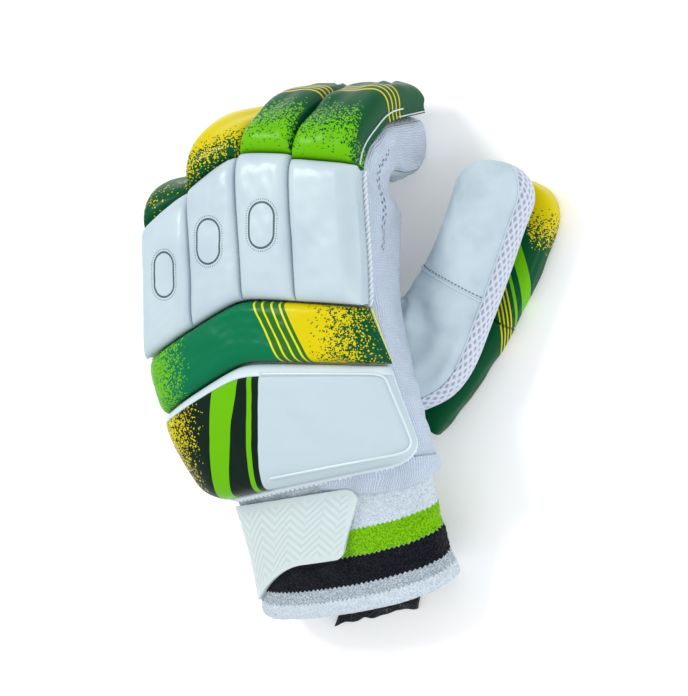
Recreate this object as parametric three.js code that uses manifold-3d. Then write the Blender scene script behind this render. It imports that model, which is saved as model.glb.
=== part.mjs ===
// A left-hand cricket batting glove, lying palm down with its back up and its thumb laid out beside it.
// Millimetres. +X runs towards the thumb, +Y towards the fingertips and +Z up from the surface it lies on.
// The origin is the middle of the flat patch under the cuff.
import * as THREE from "three";
import { mergeVertices } from "three/addons/utils/BufferGeometryUtils.js";
import Module from "manifold-3d";

const wasm = await Module();
wasm.setup();

// Clearances and walls
const GAP = 0.4;
const LEATHER = 1.6;
const KNIT = 1.5;
const BACKING = 1.4;
const TOWELLING = 4;

// The cuff, from the rim round the wrist's opening to the seam where the hand starts
const CUFF_LENGTH = 46;
const CUFF_TUCK = 7;
const CUFF_WIDTH = 101;
const CUFF_SHIFT = -2;
const CUFF_DEPTH = 43;
const CUFF_HEIGHT = 15.5;
const CUFF_WAIST = 1.5;
const TUCK_EASE = 1.6;
const MOUTH_LEAN = 0.45;
const MOUTH_SLANT = 0.11;
const WRIST_SLANT = 0.17;
const PAD_SLANT = 0.21;
const RIM_Y = -6.5;
const PATCH_Y = 4.5;

// The hand, from the wrist seam to the roots of the fingers
const HAND_WIDTH = 119;
const HAND_DEPTH = 34;
const HAND_HEIGHT = 70;
const HAND_SHIFT = -26.5;
const KNUCKLE_REACH = 85;
const ROOT_REACH = 12;
const ARCH_DROP = 7;

// The fingers beyond the knuckle line
const PROXIMAL = 62;
const PHALANX = 30;
const FINGER_DEPTH = 28;
const FINGER_LEAN = -3.5;
const FINGER_GATHER = 3;
const FINGER_TIP = 12;
const FIRST_BEND = 24;
const SECOND_BEND = 18;

// The padding on the back
const BASE_PAD_THICK = 13.5;
const ROLL_THICK = 16.5;
const BAND_LENGTH = 29;
const BAND_THICK = 13;
const WRIST_PAD_THICK = 13;

// The thumb
const THUMB_LENGTH = 122;
const THUMB_WIDTH = 36;
const THUMB_DEPTH = 21;
const GUARD_WIDTH = 43;
const GUARD_THICK = 15;
const GUARD_JOINT = 0.46;

// The closing strap and the tab of hook tape under the cuff
const STRAP_THICK = 2.2;
const HOOK_TAB_WIDTH = 44;
const HOOK_TAB_LENGTH = 34;
const HOOK_TAB_THICK = 1.8;

// Angles round a section are in degrees from the thumb's side, 90 at the back of the hand
const BACK_SEAM = 46;
const PALM_SEAM = -40;

const radians = THREE.MathUtils.degToRad;
const mix = THREE.MathUtils.lerp;
const clamp = THREE.MathUtils.clamp;
const point = (x, y, z) => new THREE.Vector3(x, y, z);

// From 0 to 1 with no kink at either end.
function ease(share) {
  const t = clamp(share, 0, 1);
  return t * t * (3 - 2 * t);
}

// A column of a table, read at a place between its rows along a smooth curve. The rows' places are in the
// column at.
function read(table, column, at) {
  const last = table.length - 1;
  let i = 0;
  while (i < last - 1 && table[i + 1].at < at) i += 1;
  const row = (k) => table[clamp(k, 0, last)];
  const slope = (k) => {
    const before = row(k - 1);
    const after = row(k + 1);
    return (after[column] - before[column]) / (after.at - before.at);
  };
  const span = row(i + 1).at - row(i).at;
  const t = clamp((at - row(i).at) / span, 0, 1);
  const start = row(i)[column] * (1 + 2 * t) * (1 - t) ** 2;
  const end = row(i + 1)[column] * t * t * (3 - 2 * t);
  const slopes = slope(i) * t * (1 - t) ** 2 - slope(i + 1) * t * t * (1 - t);
  return start + end + span * slopes;
}

// A point of a superellipse of half sizes a and b, at an angle seen from its centre. Boxy is its exponent.
function superellipse(a, b, boxy, angle) {
  const c = Math.cos(radians(angle));
  const s = Math.sin(radians(angle));
  const reach = (Math.abs(c) ** boxy + Math.abs(s) ** boxy) ** (-1 / boxy);
  const p = { x: a * reach * c, z: b * reach * s };
  const nx = (Math.sign(c) * Math.abs(p.x / a) ** (boxy - 1)) / a;
  const nz = (Math.sign(s) * Math.abs(p.z / b) ** (boxy - 1)) / b;
  const size = Math.hypot(nx, nz);
  return { ...p, nx: nx / size, nz: nz / size };
}

// A closed solid between two surfaces, each a function of u across and v along, both from 0 to 1.
// A wrapped one runs round and meets itself in u.
function shell(outer, inner, across, along, wrapped = false) {
  const columns = wrapped ? across : across + 1;
  const positions = [];
  const index = [];
  for (const surface of [outer, inner]) {
    for (let j = 0; j <= along; j += 1) {
      for (let i = 0; i < columns; i += 1) {
        positions.push(...surface(i / across, j / along).toArray());
      }
    }
  }
  const layer = columns * (along + 1);
  const at = (side, i, j) => side * layer + j * columns + (i % columns);
  const quad = (a, b, c, d) => index.push(a, b, c, a, c, d);
  for (let j = 0; j < along; j += 1) {
    for (let i = 0; i < across; i += 1) {
      quad(at(0, i, j), at(0, i + 1, j), at(0, i + 1, j + 1), at(0, i, j + 1));
      quad(at(1, i, j), at(1, i, j + 1), at(1, i + 1, j + 1), at(1, i + 1, j));
    }
    if (!wrapped) {
      quad(at(0, 0, j), at(0, 0, j + 1), at(1, 0, j + 1), at(1, 0, j));
      quad(at(0, across, j), at(1, across, j), at(1, across, j + 1), at(0, across, j + 1));
    }
  }
  for (let i = 0; i < across; i += 1) {
    quad(at(0, i, 0), at(1, i, 0), at(1, i + 1, 0), at(0, i + 1, 0));
    quad(at(0, i, along), at(0, i + 1, along), at(1, i + 1, along), at(1, i, along));
  }
  return facingOut(positions, index);
}

// A geometry from its points and triangles, turned round if its faces point inwards.
function facingOut(positions, index) {
  const corner = (k) => point(...positions.slice(3 * index[k], 3 * index[k] + 3));
  let volume = 0;
  for (let k = 0; k < index.length; k += 3) {
    volume += corner(k).dot(corner(k + 1).cross(corner(k + 2)));
  }
  if (volume < 0) index.reverse();
  const geometry = new THREE.BufferGeometry();
  geometry.setAttribute("position", new THREE.Float32BufferAttribute(positions, 3));
  geometry.setIndex(index);
  return geometry;
}

// A closed geometry as a solid that can be cut.
function solid(geometry) {
  const merged = mergeVertices(geometry, 1e-4);
  const mesh = new wasm.Mesh({
    numProp: 3,
    vertProperties: merged.attributes.position.array,
    triVerts: new Uint32Array(merged.index.array),
  });
  return new wasm.Manifold(mesh);
}

// The geometry that is left of one piece where others are cut from it.
function cut(geometry, ...cutters) {
  const left = cutters.reduce((body, cutter) => body.subtract(solid(cutter)), solid(geometry));
  const bodies = left.decompose();
  const largest = bodies.reduce((best, body) => (body.volume() > best.volume() ? body : best));
  const mesh = largest.getMesh();
  return facingOut([...mesh.vertProperties], [...mesh.triVerts]);
}

// A closed solid round a line of rings, closed at both ends.
function body(ring, around, along) {
  const positions = [];
  const index = [];
  const centre = (v) => {
    const sum = point(0, 0, 0);
    for (let i = 0; i < around; i += 1) sum.add(ring(i / around, v));
    return sum.divideScalar(around);
  };
  for (let j = 0; j <= along; j += 1) {
    for (let i = 0; i < around; i += 1) {
      positions.push(...ring(i / around, j / along).toArray());
    }
  }
  positions.push(...centre(0).toArray(), ...centre(1).toArray());
  const first = around * (along + 1);
  for (let i = 0; i < around; i += 1) {
    const next = (i + 1) % around;
    for (let j = 0; j < along; j += 1) {
      const low = j * around;
      const high = low + around;
      index.push(low + i, low + next, high + next, low + i, high + next, high + i);
    }
    index.push(first, next, i);
    index.push(first + 1, along * around + i, along * around + next);
  }
  return facingOut(positions, index);
}

// Sections of the hand. Widths, heights and depths are shares of the hand's own, and at is a share of its
// length.
const HAND_SECTIONS = [
  { at: 0, shift: 0.05, width: 0.9, top: 0.85, depth: 0.96, boxy: 2.5, arch: 0.1 },
  { at: 0.2, shift: 0.33, width: 0.965, top: 0.92, depth: 1.01, boxy: 2.9, arch: 0.4 },
  { at: 0.45, shift: 0.67, width: 1.015, top: 0.97, depth: 1.03, boxy: 3.6, arch: 0.8 },
  { at: 0.7, shift: 0.9, width: 1.025, top: 0.99, depth: 0.97, boxy: 4.8, arch: 1 },
  { at: 1, shift: 1, width: 1, top: 1, depth: 0.88, boxy: 7, arch: 1 },
];

// How far the back of the hand drops at x, lower towards the little finger than towards the thumb.
const ARCH_CENTRE = HAND_SHIFT + 0.1 * HAND_WIDTH;
const arch = (x) => -ARCH_DROP * ((x - ARCH_CENTRE) / (0.6 * HAND_WIDTH)) ** 2;
const archSlope = (x) => (-2 * ARCH_DROP * (x - ARCH_CENTRE)) / (0.6 * HAND_WIDTH) ** 2;

// The lines across the hand. The knuckle line is a chevron whose long arm slants back to the little finger.
const CHEVRON_X = HAND_SHIFT - 0.02 * HAND_WIDTH;
const CHEVRON_ROUND = 7;
function chevron(x, little, index) {
  const d = x - CHEVRON_X;
  return ((little + index) / 2) * d - ((little - index) / 2) * Math.hypot(d, CHEVRON_ROUND);
}
const wristY = (x) => CUFF_LENGTH + WRIST_SLANT * x;
const padLowY = (x) => CUFF_LENGTH + 3 * GAP + PAD_SLANT * x;
const knuckleY = (x) => CUFF_LENGTH + KNUCKLE_REACH + chevron(x, 0.5, -0.07);
const rootY = (x) => knuckleY(x) + ROOT_REACH;
const bandLowY = (x) => CUFF_LENGTH + KNUCKLE_REACH - BAND_LENGTH + chevron(x, 0.52, -0.02);

// A point on the hand's outer surface, or inset under it, at a share of its length and an angle round it.
function handPoint(along, angle, inset = 0) {
  const at = clamp(along, 0, 1);
  const halfWidth = (HAND_WIDTH * read(HAND_SECTIONS, "width", at)) / 2;
  const halfDepth = (HAND_DEPTH * read(HAND_SECTIONS, "depth", at)) / 2;
  const section = superellipse(halfWidth, halfDepth, read(HAND_SECTIONS, "boxy", at), angle);
  const centre = HAND_HEIGHT * read(HAND_SECTIONS, "top", at) - halfDepth;
  const x = HAND_SHIFT * read(HAND_SECTIONS, "shift", at) + section.x - inset * section.nx;
  const z = centre + section.z - inset * section.nz + arch(x) * read(HAND_SECTIONS, "arch", at);
  return point(x, mix(wristY(x), rootY(x), along), z);
}

// A point over the hand's surface at an angle and at the Y that a line across the hand has there.
function overHand(line, angle, lift) {
  let along = 0.5;
  for (let i = 0; i < 6; i += 1) {
    const x = handPoint(along, angle, -lift).x;
    along = (line(x) - wristY(x)) / (rootY(x) - wristY(x));
  }
  return handPoint(along, angle, -lift);
}

// The fingers from the little one to the index. Width is a share of the hand's, bone and pad are shares of
// the first bone's length, phalanx is one of the length between the two bends, curl and tipCurl are how far
// the bends turn down, belly is how full the front is, and roll is a share of the rolls' thickness.
const FINGER_ROWS = [
  { name: "little", width: 0.252, bone: 0.93, pad: 0.94, phalanx: 0.7, curl: 80, tipCurl: 8, belly: 0.5, roll: 0.8 },
  { name: "ring", width: 0.239, bone: 1.02, pad: 0.99, phalanx: 0.9, curl: 62, tipCurl: 22, belly: 0.5, roll: 1 },
  { name: "middle", width: 0.236, bone: 1, pad: 1.02, phalanx: 1, curl: 55, tipCurl: 25, belly: 0.5, roll: 1 },
  { name: "index", width: 0.273, bone: 1, pad: 0.98, phalanx: 1, curl: 53, tipCurl: 26, belly: 1, roll: 1 },
];
const FINGER_SECTIONS = [
  { at: 0, depth: 1.02, belly: 0, boxy: 9 },
  { at: 0.14, depth: 1.02, belly: 0.26, boxy: 5 },
  { at: 0.3, depth: 1.02, belly: 0.44, boxy: 3.6 },
  { at: 0.48, depth: 0.88, belly: 0.14, boxy: 3.4 },
  { at: 0.64, depth: 0.9, belly: 0.04, boxy: 3.4 },
  { at: 0.85, depth: 0.98, belly: 0.06, boxy: 3.2 },
  { at: 1, depth: 0.9, belly: 0, boxy: 3 },
];
const PATH_STEP = 1;

// Sections start to turn before the back of the finger does and go on after it, so that they don't cross
// inside.
const FOLD_BEFORE = 26;
const FOLD_AFTER = 18;

// The place across that every finger drifts by at a Y beyond the knuckles.
function drift(y) {
  const beyond = y - CUFF_LENGTH - KNUCKLE_REACH;
  return FINGER_LEAN * ease(beyond / PROXIMAL) + FINGER_GATHER * ease((beyond - PROXIMAL) / PHALANX);
}

// A finger with the path of its back: where it runs, and how far it is turned down, at each millimetre.
// It ends where its tip comes down on what the glove lies on.
function makeFinger(row, start) {
  const width = row.width * HAND_WIDTH;
  const x = start + width / 2;
  const bone = row.bone * PROXIMAL;
  const turnAt = (s) => {
    const first = ease((s - bone + FIRST_BEND * 0.35) / FIRST_BEND);
    const second = ease((s - bone - row.phalanx * PHALANX + SECOND_BEND / 2) / SECOND_BEND);
    return radians(row.curl * first + row.tipCurl * second);
  };
  const foldTurnAt = (s) => {
    const t = clamp((s - bone + FOLD_BEFORE) / (FOLD_BEFORE + row.phalanx * PHALANX + FOLD_AFTER), 0, 1);
    return radians((row.curl + row.tipCurl) * mix(t, ease(t), 0.6));
  };
  const path = [{ y: knuckleY(x), z: HAND_HEIGHT + arch(x) }];
  const underside = FINGER_DEPTH * Math.cos(radians(row.curl + row.tipCurl));
  while (path[path.length - 1].z > underside) {
    const turn = turnAt((path.length - 0.5) * PATH_STEP);
    const last = path[path.length - 1];
    path.push({ y: last.y + PATH_STEP * Math.cos(turn), z: last.z - PATH_STEP * Math.sin(turn) });
  }
  const length = (path.length - 1) * PATH_STEP;
  return { ...row, x, width, foldTurnAt, path, length, tilt: archSlope(x) };
}

const FINGERS = [];
for (const row of FINGER_ROWS) {
  const start = HAND_SHIFT - HAND_WIDTH / 2 + FINGERS.reduce((sum, f) => sum + f.width, 0);
  FINGERS.push(makeFinger(row, start));
}
const [LITTLE, RING, MIDDLE, INDEX] = FINGERS;

// A point near a finger: s along its back from the knuckle line, x across it and h out from its back.
function fingerPoint(finger, s, x, h) {
  const place = s / PATH_STEP;
  const i = clamp(Math.floor(place), 0, finger.path.length - 2);
  const a = finger.path[i];
  const b = finger.path[i + 1];
  const turn = finger.foldTurnAt(s);
  const rise = h + x * finger.tilt * (1 - ease((s - PROXIMAL) / PHALANX));
  const y = mix(a.y, b.y, place - i) + rise * Math.sin(turn);
  const z = mix(a.z, b.z, place - i) + rise * Math.cos(turn);
  return point(finger.x + x + drift(y), y, z);
}

// A point on a finger stall, inset under its surface, at a share of the way from root to tip and an angle
// round it. Start is where it begins beyond the knuckle line, and its tip is flattened where it rests.
function stallPoint(finger, along, angle, inset = 0, start = ROOT_REACH + GAP) {
  const end = finger.length - inset;
  const s = mix(start, end, along);
  const close = clamp((s - end + FINGER_TIP) / FINGER_TIP, 0, 1);
  const size = Math.max((1 - close ** 2.6) ** (1 / 2.6), 0.06);
  const fullness = read(FINGER_SECTIONS, "depth", along) + finger.belly * read(FINGER_SECTIONS, "belly", along);
  const depth = FINGER_DEPTH * fullness;
  const halfWidth = (finger.width - GAP) / 2 - inset;
  const halfDepth = depth / 2 - inset;
  const boxy = read(FINGER_SECTIONS, "boxy", along);
  const section = superellipse(halfWidth * size, halfDepth * size, boxy, angle);
  const slant = (knuckleY(finger.x + section.x) - knuckleY(finger.x)) * (1 - ease(along * 1.6));
  const p = fingerPoint(finger, s + slant, section.x, section.z - depth / 2);
  return p.setZ(Math.max(p.z, inset));
}

// Shares of the way along a stall, closer together towards its tip.
const towardsTip = (v) => 1 - (1 - v) ** 1.7;

// A panel of a tube's wall, from one angle round it to another, short of both by half a gap.
// Reach is about how far the seams lie from the tube's middle.
function panel(tube, wall, reach, from, to, across, along, stretch = (v) => v) {
  const trim = THREE.MathUtils.radToDeg(GAP / 2 / reach) * Math.sign(to - from);
  const surface = (inset) => (u, v) => tube(stretch(v), mix(from + trim, to - trim, u), inset);
  return shell(surface(0), surface(wall), across, along);
}

// Rows of faces along the hand, along a finger stall and along the thumb's two lengths. Panels that meet
// share them.
const HAND_ROWS = 7;
const STALL_ROWS = 12;
const THUMB_LOWER_ROWS = 5;
const THUMB_UPPER_ROWS = 8;

// The side wall of the hand that runs on along the side of an outer finger to its tip.
const SIDE_ROWS = HAND_ROWS + 1 + STALL_ROWS;
const shortOfRoots = (v) => v * (1 - GAP / (KNUCKLE_REACH + ROOT_REACH));
const sideWall = (finger) => (v, angle, inset) => {
  const row = Math.round(v * SIDE_ROWS);
  if (row <= HAND_ROWS) return handPoint(shortOfRoots(row / HAND_ROWS), angle, inset);
  return stallPoint(finger, towardsTip((row - HAND_ROWS - 1) / STALL_ROWS), angle, inset);
};

// The strip between two fingers: down the side of one from its tip, round the fork and up the side of the
// next.
function fourchette(left, right, across, along) {
  const rows = 2 * along + 1;
  const trim = THREE.MathUtils.radToDeg(GAP / (FINGER_DEPTH / 2));
  const surface = (inset) => (u, v) => {
    const j = Math.round(v * rows);
    const angle = mix(BACK_SEAM - trim, PALM_SEAM + trim, u);
    const onLeft = j <= along;
    const place = onLeft ? 1 - j / along : (j - along - 1) / along;
    const start = ROOT_REACH + GAP + (place === 0 ? KNIT - inset : 0);
    return stallPoint(onLeft ? left : right, towardsTip(place), onLeft ? angle : 180 - angle, inset, start);
  };
  return shell(surface(0), surface(KNIT), across, rows);
}

// A stuffed pad. Place turns shares from -1 to 1 across and along, and a height, into a point.
// Its sides stand up by a share of its thickness before they round over.
function pad(place, thick, across, along, side = 0.4, soft = 5) {
  const spread = (t) => Math.sign(t) * (1 - (1 - Math.abs(t)) ** 1.9);
  const crown = (a, b) => ((1 - Math.abs(a) ** soft) * (1 - Math.abs(b) ** soft)) ** 0.45;
  const surface = (top) => (u, v) => {
    const a = spread(2 * u - 1);
    const b = spread(2 * v - 1);
    return place(a, b, top ? thick * (side + (1 - side) * crown(a, b)) : 0);
  };
  return shell(surface(true), surface(false), across, along);
}

// The flat pad over a finger's first bone.
function basePad(finger) {
  const half = (finger.width - GAP) / 2;
  const length = finger.pad * PROXIMAL - 2 * GAP;
  const place = (a, b, h) => {
    const x = a * half;
    const slant = knuckleY(finger.x + x) - knuckleY(finger.x);
    return fingerPoint(finger, GAP + (length * (b + 1)) / 2 + slant, x, GAP + h);
  };
  return pad(place, BASE_PAD_THICK, 8, 6);
}

// The roll over a finger's bent end, which stops short of the tip by a share of its thickness.
const ROLL_SHORT = 0.6;
function tipRoll(finger) {
  const half = (finger.width - GAP) / 2;
  const start = finger.pad * PROXIMAL + GAP;
  const end = finger.length - ROLL_THICK * ROLL_SHORT;
  const place = (a, b, h) => {
    const x = a * half;
    const share = (b + 1) / 2;
    const slant = (knuckleY(finger.x + x) - knuckleY(finger.x)) * (1 - ease(1.6 * share));
    return fingerPoint(finger, mix(start, end, share) + slant, x, 2 * GAP + h);
  };
  return pad(place, finger.roll * ROLL_THICK, 6, 11, 0.3, 4);
}

// The bent roll over the knuckles and the big pad over the wrist.
const BAND_ANGLES = { index: 35, little: 140, lowIndex: 34, lowLittle: 141 };
const WRIST_PAD_ANGLES = { index: 36, little: 142, lowIndex: 26, lowLittle: 158 };
function overPad(angles, low, high, thick, across, along, corner) {
  const place = (a, b, h) => {
    const round = corner * clamp(-b * 2 - 1, 0, 1) ** 2.5;
    const share = (a * (1 - round) + 1) / 2;
    const index = mix(angles.lowIndex, angles.index, (b + 1) / 2);
    const little = mix(angles.lowLittle, angles.little, (b + 1) / 2);
    const angle = mix(index, little, share);
    return overHand((x) => mix(low(x) + GAP, high(x) - GAP, (b + 1) / 2), angle, GAP + h);
  };
  return pad(place, thick, across, along);
}

// The cuff's rim, and the tube from there to the wrist seam. What would lie below the surface is flattened
// on it.
function rimPoint(angle, inset) {
  const section = superellipse(CUFF_WIDTH / 2 - inset, CUFF_DEPTH / 2 - inset, 2.2, angle);
  const z = CUFF_HEIGHT + section.z;
  return point(section.x + CUFF_SHIFT, RIM_Y + MOUTH_SLANT * section.x - MOUTH_LEAN * (z - CUFF_HEIGHT), z);
}
function cuffPoint(along, angle, inset) {
  const puff = inset + CUFF_WAIST * Math.sin(Math.PI * clamp(along, 0, 1));
  const wrist = handPoint(0, angle, puff + LEATHER + TUCK_EASE);
  const p = rimPoint(angle, puff).lerp(wrist, along);
  return p.setZ(Math.max(p.z, inset));
}

// The cuff, whose last stretch is tucked into the hand. Its first row is the flat patch that it rests on.
const CUFF_ROWS = [0, 0.12, 0.3, 0.5, 0.68, 0.84, 1];
function cuff() {
  const surface = (inset) => (u, v) => {
    const row = Math.round(v * CUFF_ROWS.length);
    if (row < CUFF_ROWS.length) return cuffPoint(CUFF_ROWS[row], 360 * u, inset);
    const along = CUFF_TUCK / (KNUCKLE_REACH + ROOT_REACH);
    return handPoint(along, 360 * u, LEATHER + TUCK_EASE + inset);
  };
  return shell(surface(0), surface(TOWELLING), 32, CUFF_ROWS.length, true);
}

// The moulded strap that closes the cuff, from its free end over the back round to the far side.
const STRAP = { freeLow: 80, freeHigh: 69, root: 206, low: 0.42, lowRoot: 0.1, high: 0.93 };
function strap() {
  const surface = (lift) => (u, v) => {
    const angle = mix(mix(STRAP.freeLow, STRAP.freeHigh, v), STRAP.root, u);
    const low = mix(STRAP.low, STRAP.lowRoot, ease((u - 0.2) * 2));
    return cuffPoint(mix(low, STRAP.high, v), angle, -lift);
  };
  return shell(surface(GAP + STRAP_THICK), surface(GAP), 16, 3);
}

// The tab of hook tape: it comes out of the cuff over the lower rim and lies in front of it.
function hookTab() {
  const inner = TOWELLING + GAP;
  const rim = RIM_Y + MOUTH_LEAN * CUFF_HEIGHT;
  const length = HOOK_TAB_LENGTH;
  const outline = [
    { y: rim + 0.04 * length, z: inner + 0.8 },
    { y: rim - GAP - HOOK_TAB_THICK, z: inner },
    { y: rim - 0.28 * length, z: 0 },
    { y: rim - 0.75 * length, z: 0 },
  ];
  const surface = (lift) => (u, v) => {
    const p = outline[Math.round(v * (outline.length - 1))];
    const x = (u - 0.42) * HOOK_TAB_WIDTH;
    return point(x, p.y + MOUTH_SLANT * x, p.z + lift);
  };
  return shell(surface(HOOK_TAB_THICK), surface(0), 4, outline.length - 1);
}

// The thumb: stations along its middle. Across and deep are shares of its width and depth, x and y of the
// thumb's length from the hand's edge, and heading is its direction, in degrees from +Y towards +X.
const THUMB_ROOT = point(
  HAND_SHIFT + 0.458 * HAND_WIDTH,
  CUFF_LENGTH + 0.67 * KNUCKLE_REACH,
  0.471 * HAND_HEIGHT,
);
const THUMB_STATIONS = [
  { at: 0, x: 0, y: 0, lift: 0, heading: 82, across: 1.5, deep: 0.8 },
  { at: 0.16, x: 0.12, y: 0.06, lift: -0.22, heading: 60, across: 1.42, deep: 0.88 },
  { at: 0.36, x: 0.205, y: 0.21, lift: -0.3, heading: 32, across: 1.17, deep: 1 },
  { at: 0.56, x: 0.29, y: 0.385, lift: -0.3, heading: 23, across: 1.06, deep: 1.02 },
  { at: 0.74, x: 0.343, y: 0.52, lift: -0.3, heading: 19, across: 1.04, deep: 1.02 },
  { at: 0.88, x: 0.381, y: 0.622, lift: -0.3, heading: 17, across: 1.06, deep: 1.02 },
  { at: 1, x: 0.415, y: 0.73, lift: -0.3, heading: 16, across: 0.98, deep: 0.98 },
];
const THUMB_BOXY = 2.7;
const THUMB_TIP = 0.14;
const THUMB_START = 0.04;
const THUMB_SEAM = 0.43;
const FRONT_SEAM = 24;
const GUSSET_SEAM = -38;

// A point on the thumb's stall, inset under its surface.
function thumbPoint(along, angle, inset = 0) {
  const at = Math.min(along, 1 - inset / THUMB_LENGTH);
  const heading = radians(read(THUMB_STATIONS, "heading", at));
  const close = clamp((along - 1 + THUMB_TIP) / THUMB_TIP, 0, 1);
  const size = Math.max((1 - close ** 2.4) ** (1 / 2.4), 0.06);
  const halfWidth = (THUMB_WIDTH * read(THUMB_STATIONS, "across", at)) / 2 - inset;
  const halfDepth = (THUMB_DEPTH * read(THUMB_STATIONS, "deep", at)) / 2 - inset;
  const section = superellipse(halfWidth * size, halfDepth * size, THUMB_BOXY, angle);
  return point(
    THUMB_ROOT.x + THUMB_LENGTH * read(THUMB_STATIONS, "x", at) + section.x * Math.cos(heading),
    THUMB_ROOT.y + THUMB_LENGTH * read(THUMB_STATIONS, "y", at) - section.x * Math.sin(heading),
    THUMB_ROOT.z + THUMB_DEPTH * read(THUMB_STATIONS, "lift", at) + section.z,
  );
}

// A solid filling the thumb's root, grown by a clearance: what the hand's panels leave open.
function thumbPassage() {
  const ring = (u, v) => {
    const p = thumbPoint(v * 0.4, 360 * u, -GAP);
    return p.add(point(-12 * (1 - v), 0, 0));
  };
  return body(ring, 24, 6);
}

// A solid filling the hand, grown by a clearance: what the thumb's panels stop at.
function handCore() {
  return body((u, v) => handPoint(v * 1.05 - 0.02, 360 * u, -GAP), 36, 10);
}

// The thumb's guard: a flat padded roll in two lengths, which the glove lies on. Its middle line is a curve.
const GUARD_START = point(HAND_SHIFT + 0.391 * HAND_WIDTH, CUFF_LENGTH + 0.424 * KNUCKLE_REACH, 0);
const GUARD_BEND = point(GUARD_START.x + 0.369 * THUMB_LENGTH, GUARD_START.y + 0.393 * THUMB_LENGTH, 0);
const GUARD_END = point(GUARD_START.x + 0.492 * THUMB_LENGTH, GUARD_START.y + 0.844 * THUMB_LENGTH, 0);
const GUARD_LINE = new THREE.QuadraticBezierCurve3(GUARD_START, GUARD_BEND, GUARD_END);
function guard(from, to, roundTip) {
  const ring = (u, v) => {
    const at = mix(from, to, v);
    const line = GUARD_LINE.getPoint(at);
    const ahead = GUARD_LINE.getTangent(at);
    const tip = roundTip ? clamp((v - 0.72) / 0.28, 0, 1) : 0;
    const narrow = Math.max((1 - tip ** 2.4) ** (1 / 2.4), 0.12);
    const soft = Math.min(1, 0.88 + 0.12 * Math.min(v, 1 - v) * 12);
    const section = superellipse((GUARD_WIDTH / 2) * narrow, (GUARD_THICK / 2) * soft, 4, 360 * u);
    const x = line.x + section.x * ahead.y;
    const y = line.y - section.x * ahead.x;
    return point(x, y, Math.max(GUARD_THICK / 2 + section.z, 0));
  };
  return body(ring, 14, 9);
}

const MATERIALS = {
  white_pu: { color: 0xe3e7e8, roughness: 0.32 },
  leather: { color: 0xd5dde0, roughness: 0.6 },
  knit: { color: 0xd6d9e6, roughness: 0.9 },
  green_pu: { color: 0x04683f, roughness: 0.28 },
  yellow_pu: { color: 0xe6cf05, roughness: 0.28 },
  lime_pu: { color: 0x84d000, roughness: 0.28 },
  towelling: { color: 0xdde0e6, roughness: 1 },
  strap_rubber: { color: 0xe4e8e4, roughness: 0.5 },
  hook_tape: { color: 0x15171b, roughness: 0.7 },
};

const glove = new THREE.Group();
glove.position.set(0, -PATCH_Y, 0);

// Adds a named piece with a finish to the glove.
function add(name, finish, geometry) {
  const material = new THREE.MeshStandardMaterial({ ...MATERIALS[finish], metalness: 0 });
  const mesh = new THREE.Mesh(geometry, material);
  mesh.name = name;
  glove.add(mesh);
}

const HAND_REACH = HAND_WIDTH / 2;
const STALL_REACH = FINGER_DEPTH / 2;
const THUMB_REACH = THUMB_WIDTH / 2;
const passage = thumbPassage();
const core = handCore();

// The hand
add("backing_hand", "knit", panel(handPoint, BACKING, HAND_REACH, BACK_SEAM, 180 - BACK_SEAM, 8, HAND_ROWS, shortOfRoots));
const palm = panel(handPoint, LEATHER, HAND_REACH, PALM_SEAM, -180 - PALM_SEAM, 8, HAND_ROWS, shortOfRoots);
add("palm", "leather", cut(palm, passage));
const indexSide = panel(sideWall(INDEX), KNIT, STALL_REACH, PALM_SEAM, BACK_SEAM, 3, SIDE_ROWS);
add("side_gusset_index", "knit", cut(indexSide, passage));
const littleSide = panel(sideWall(LITTLE), KNIT, STALL_REACH, 180 - BACK_SEAM, 180 - PALM_SEAM, 3, SIDE_ROWS);
add("side_gusset_little", "knit", littleSide);

// The fingers
for (const finger of FINGERS) {
  const stall = (along, angle, inset) => stallPoint(finger, along, angle, inset);
  const front = panel(stall, LEATHER, STALL_REACH, PALM_SEAM, -180 - PALM_SEAM, 5, STALL_ROWS, towardsTip);
  const back = panel(stall, BACKING, STALL_REACH, BACK_SEAM, 180 - BACK_SEAM, 4, STALL_ROWS, towardsTip);
  add(`finger_front_${finger.name}`, "leather", front);
  add(`backing_${finger.name}`, "knit", back);
}
add("fourchette_little_ring", "knit", fourchette(LITTLE, RING, 2, STALL_ROWS));
add("fourchette_ring_middle", "knit", fourchette(RING, MIDDLE, 2, STALL_ROWS));
add("fourchette_middle_index", "knit", fourchette(MIDDLE, INDEX, 2, STALL_ROWS));

// The padding on the back
const ROLL_FINISH = { little: "green_pu", ring: "yellow_pu", middle: "lime_pu", index: "lime_pu" };
for (const finger of FINGERS) {
  add(`base_pad_${finger.name}`, "white_pu", basePad(finger));
  add(`tip_roll_${finger.name}`, ROLL_FINISH[finger.name], tipRoll(finger));
}
add("knuckle_roll", "green_pu", overPad(BAND_ANGLES, bandLowY, knuckleY, BAND_THICK, 16, 8, 0));
add("wrist_pad", "white_pu", overPad(WRIST_PAD_ANGLES, padLowY, bandLowY, WRIST_PAD_THICK, 16, 9, 0.22));

// The cuff, its strap and its tab
add("cuff", "towelling", cuff());
add("closure_strap", "strap_rubber", strap());
add("hook_tab", "hook_tape", hookTab());

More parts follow.
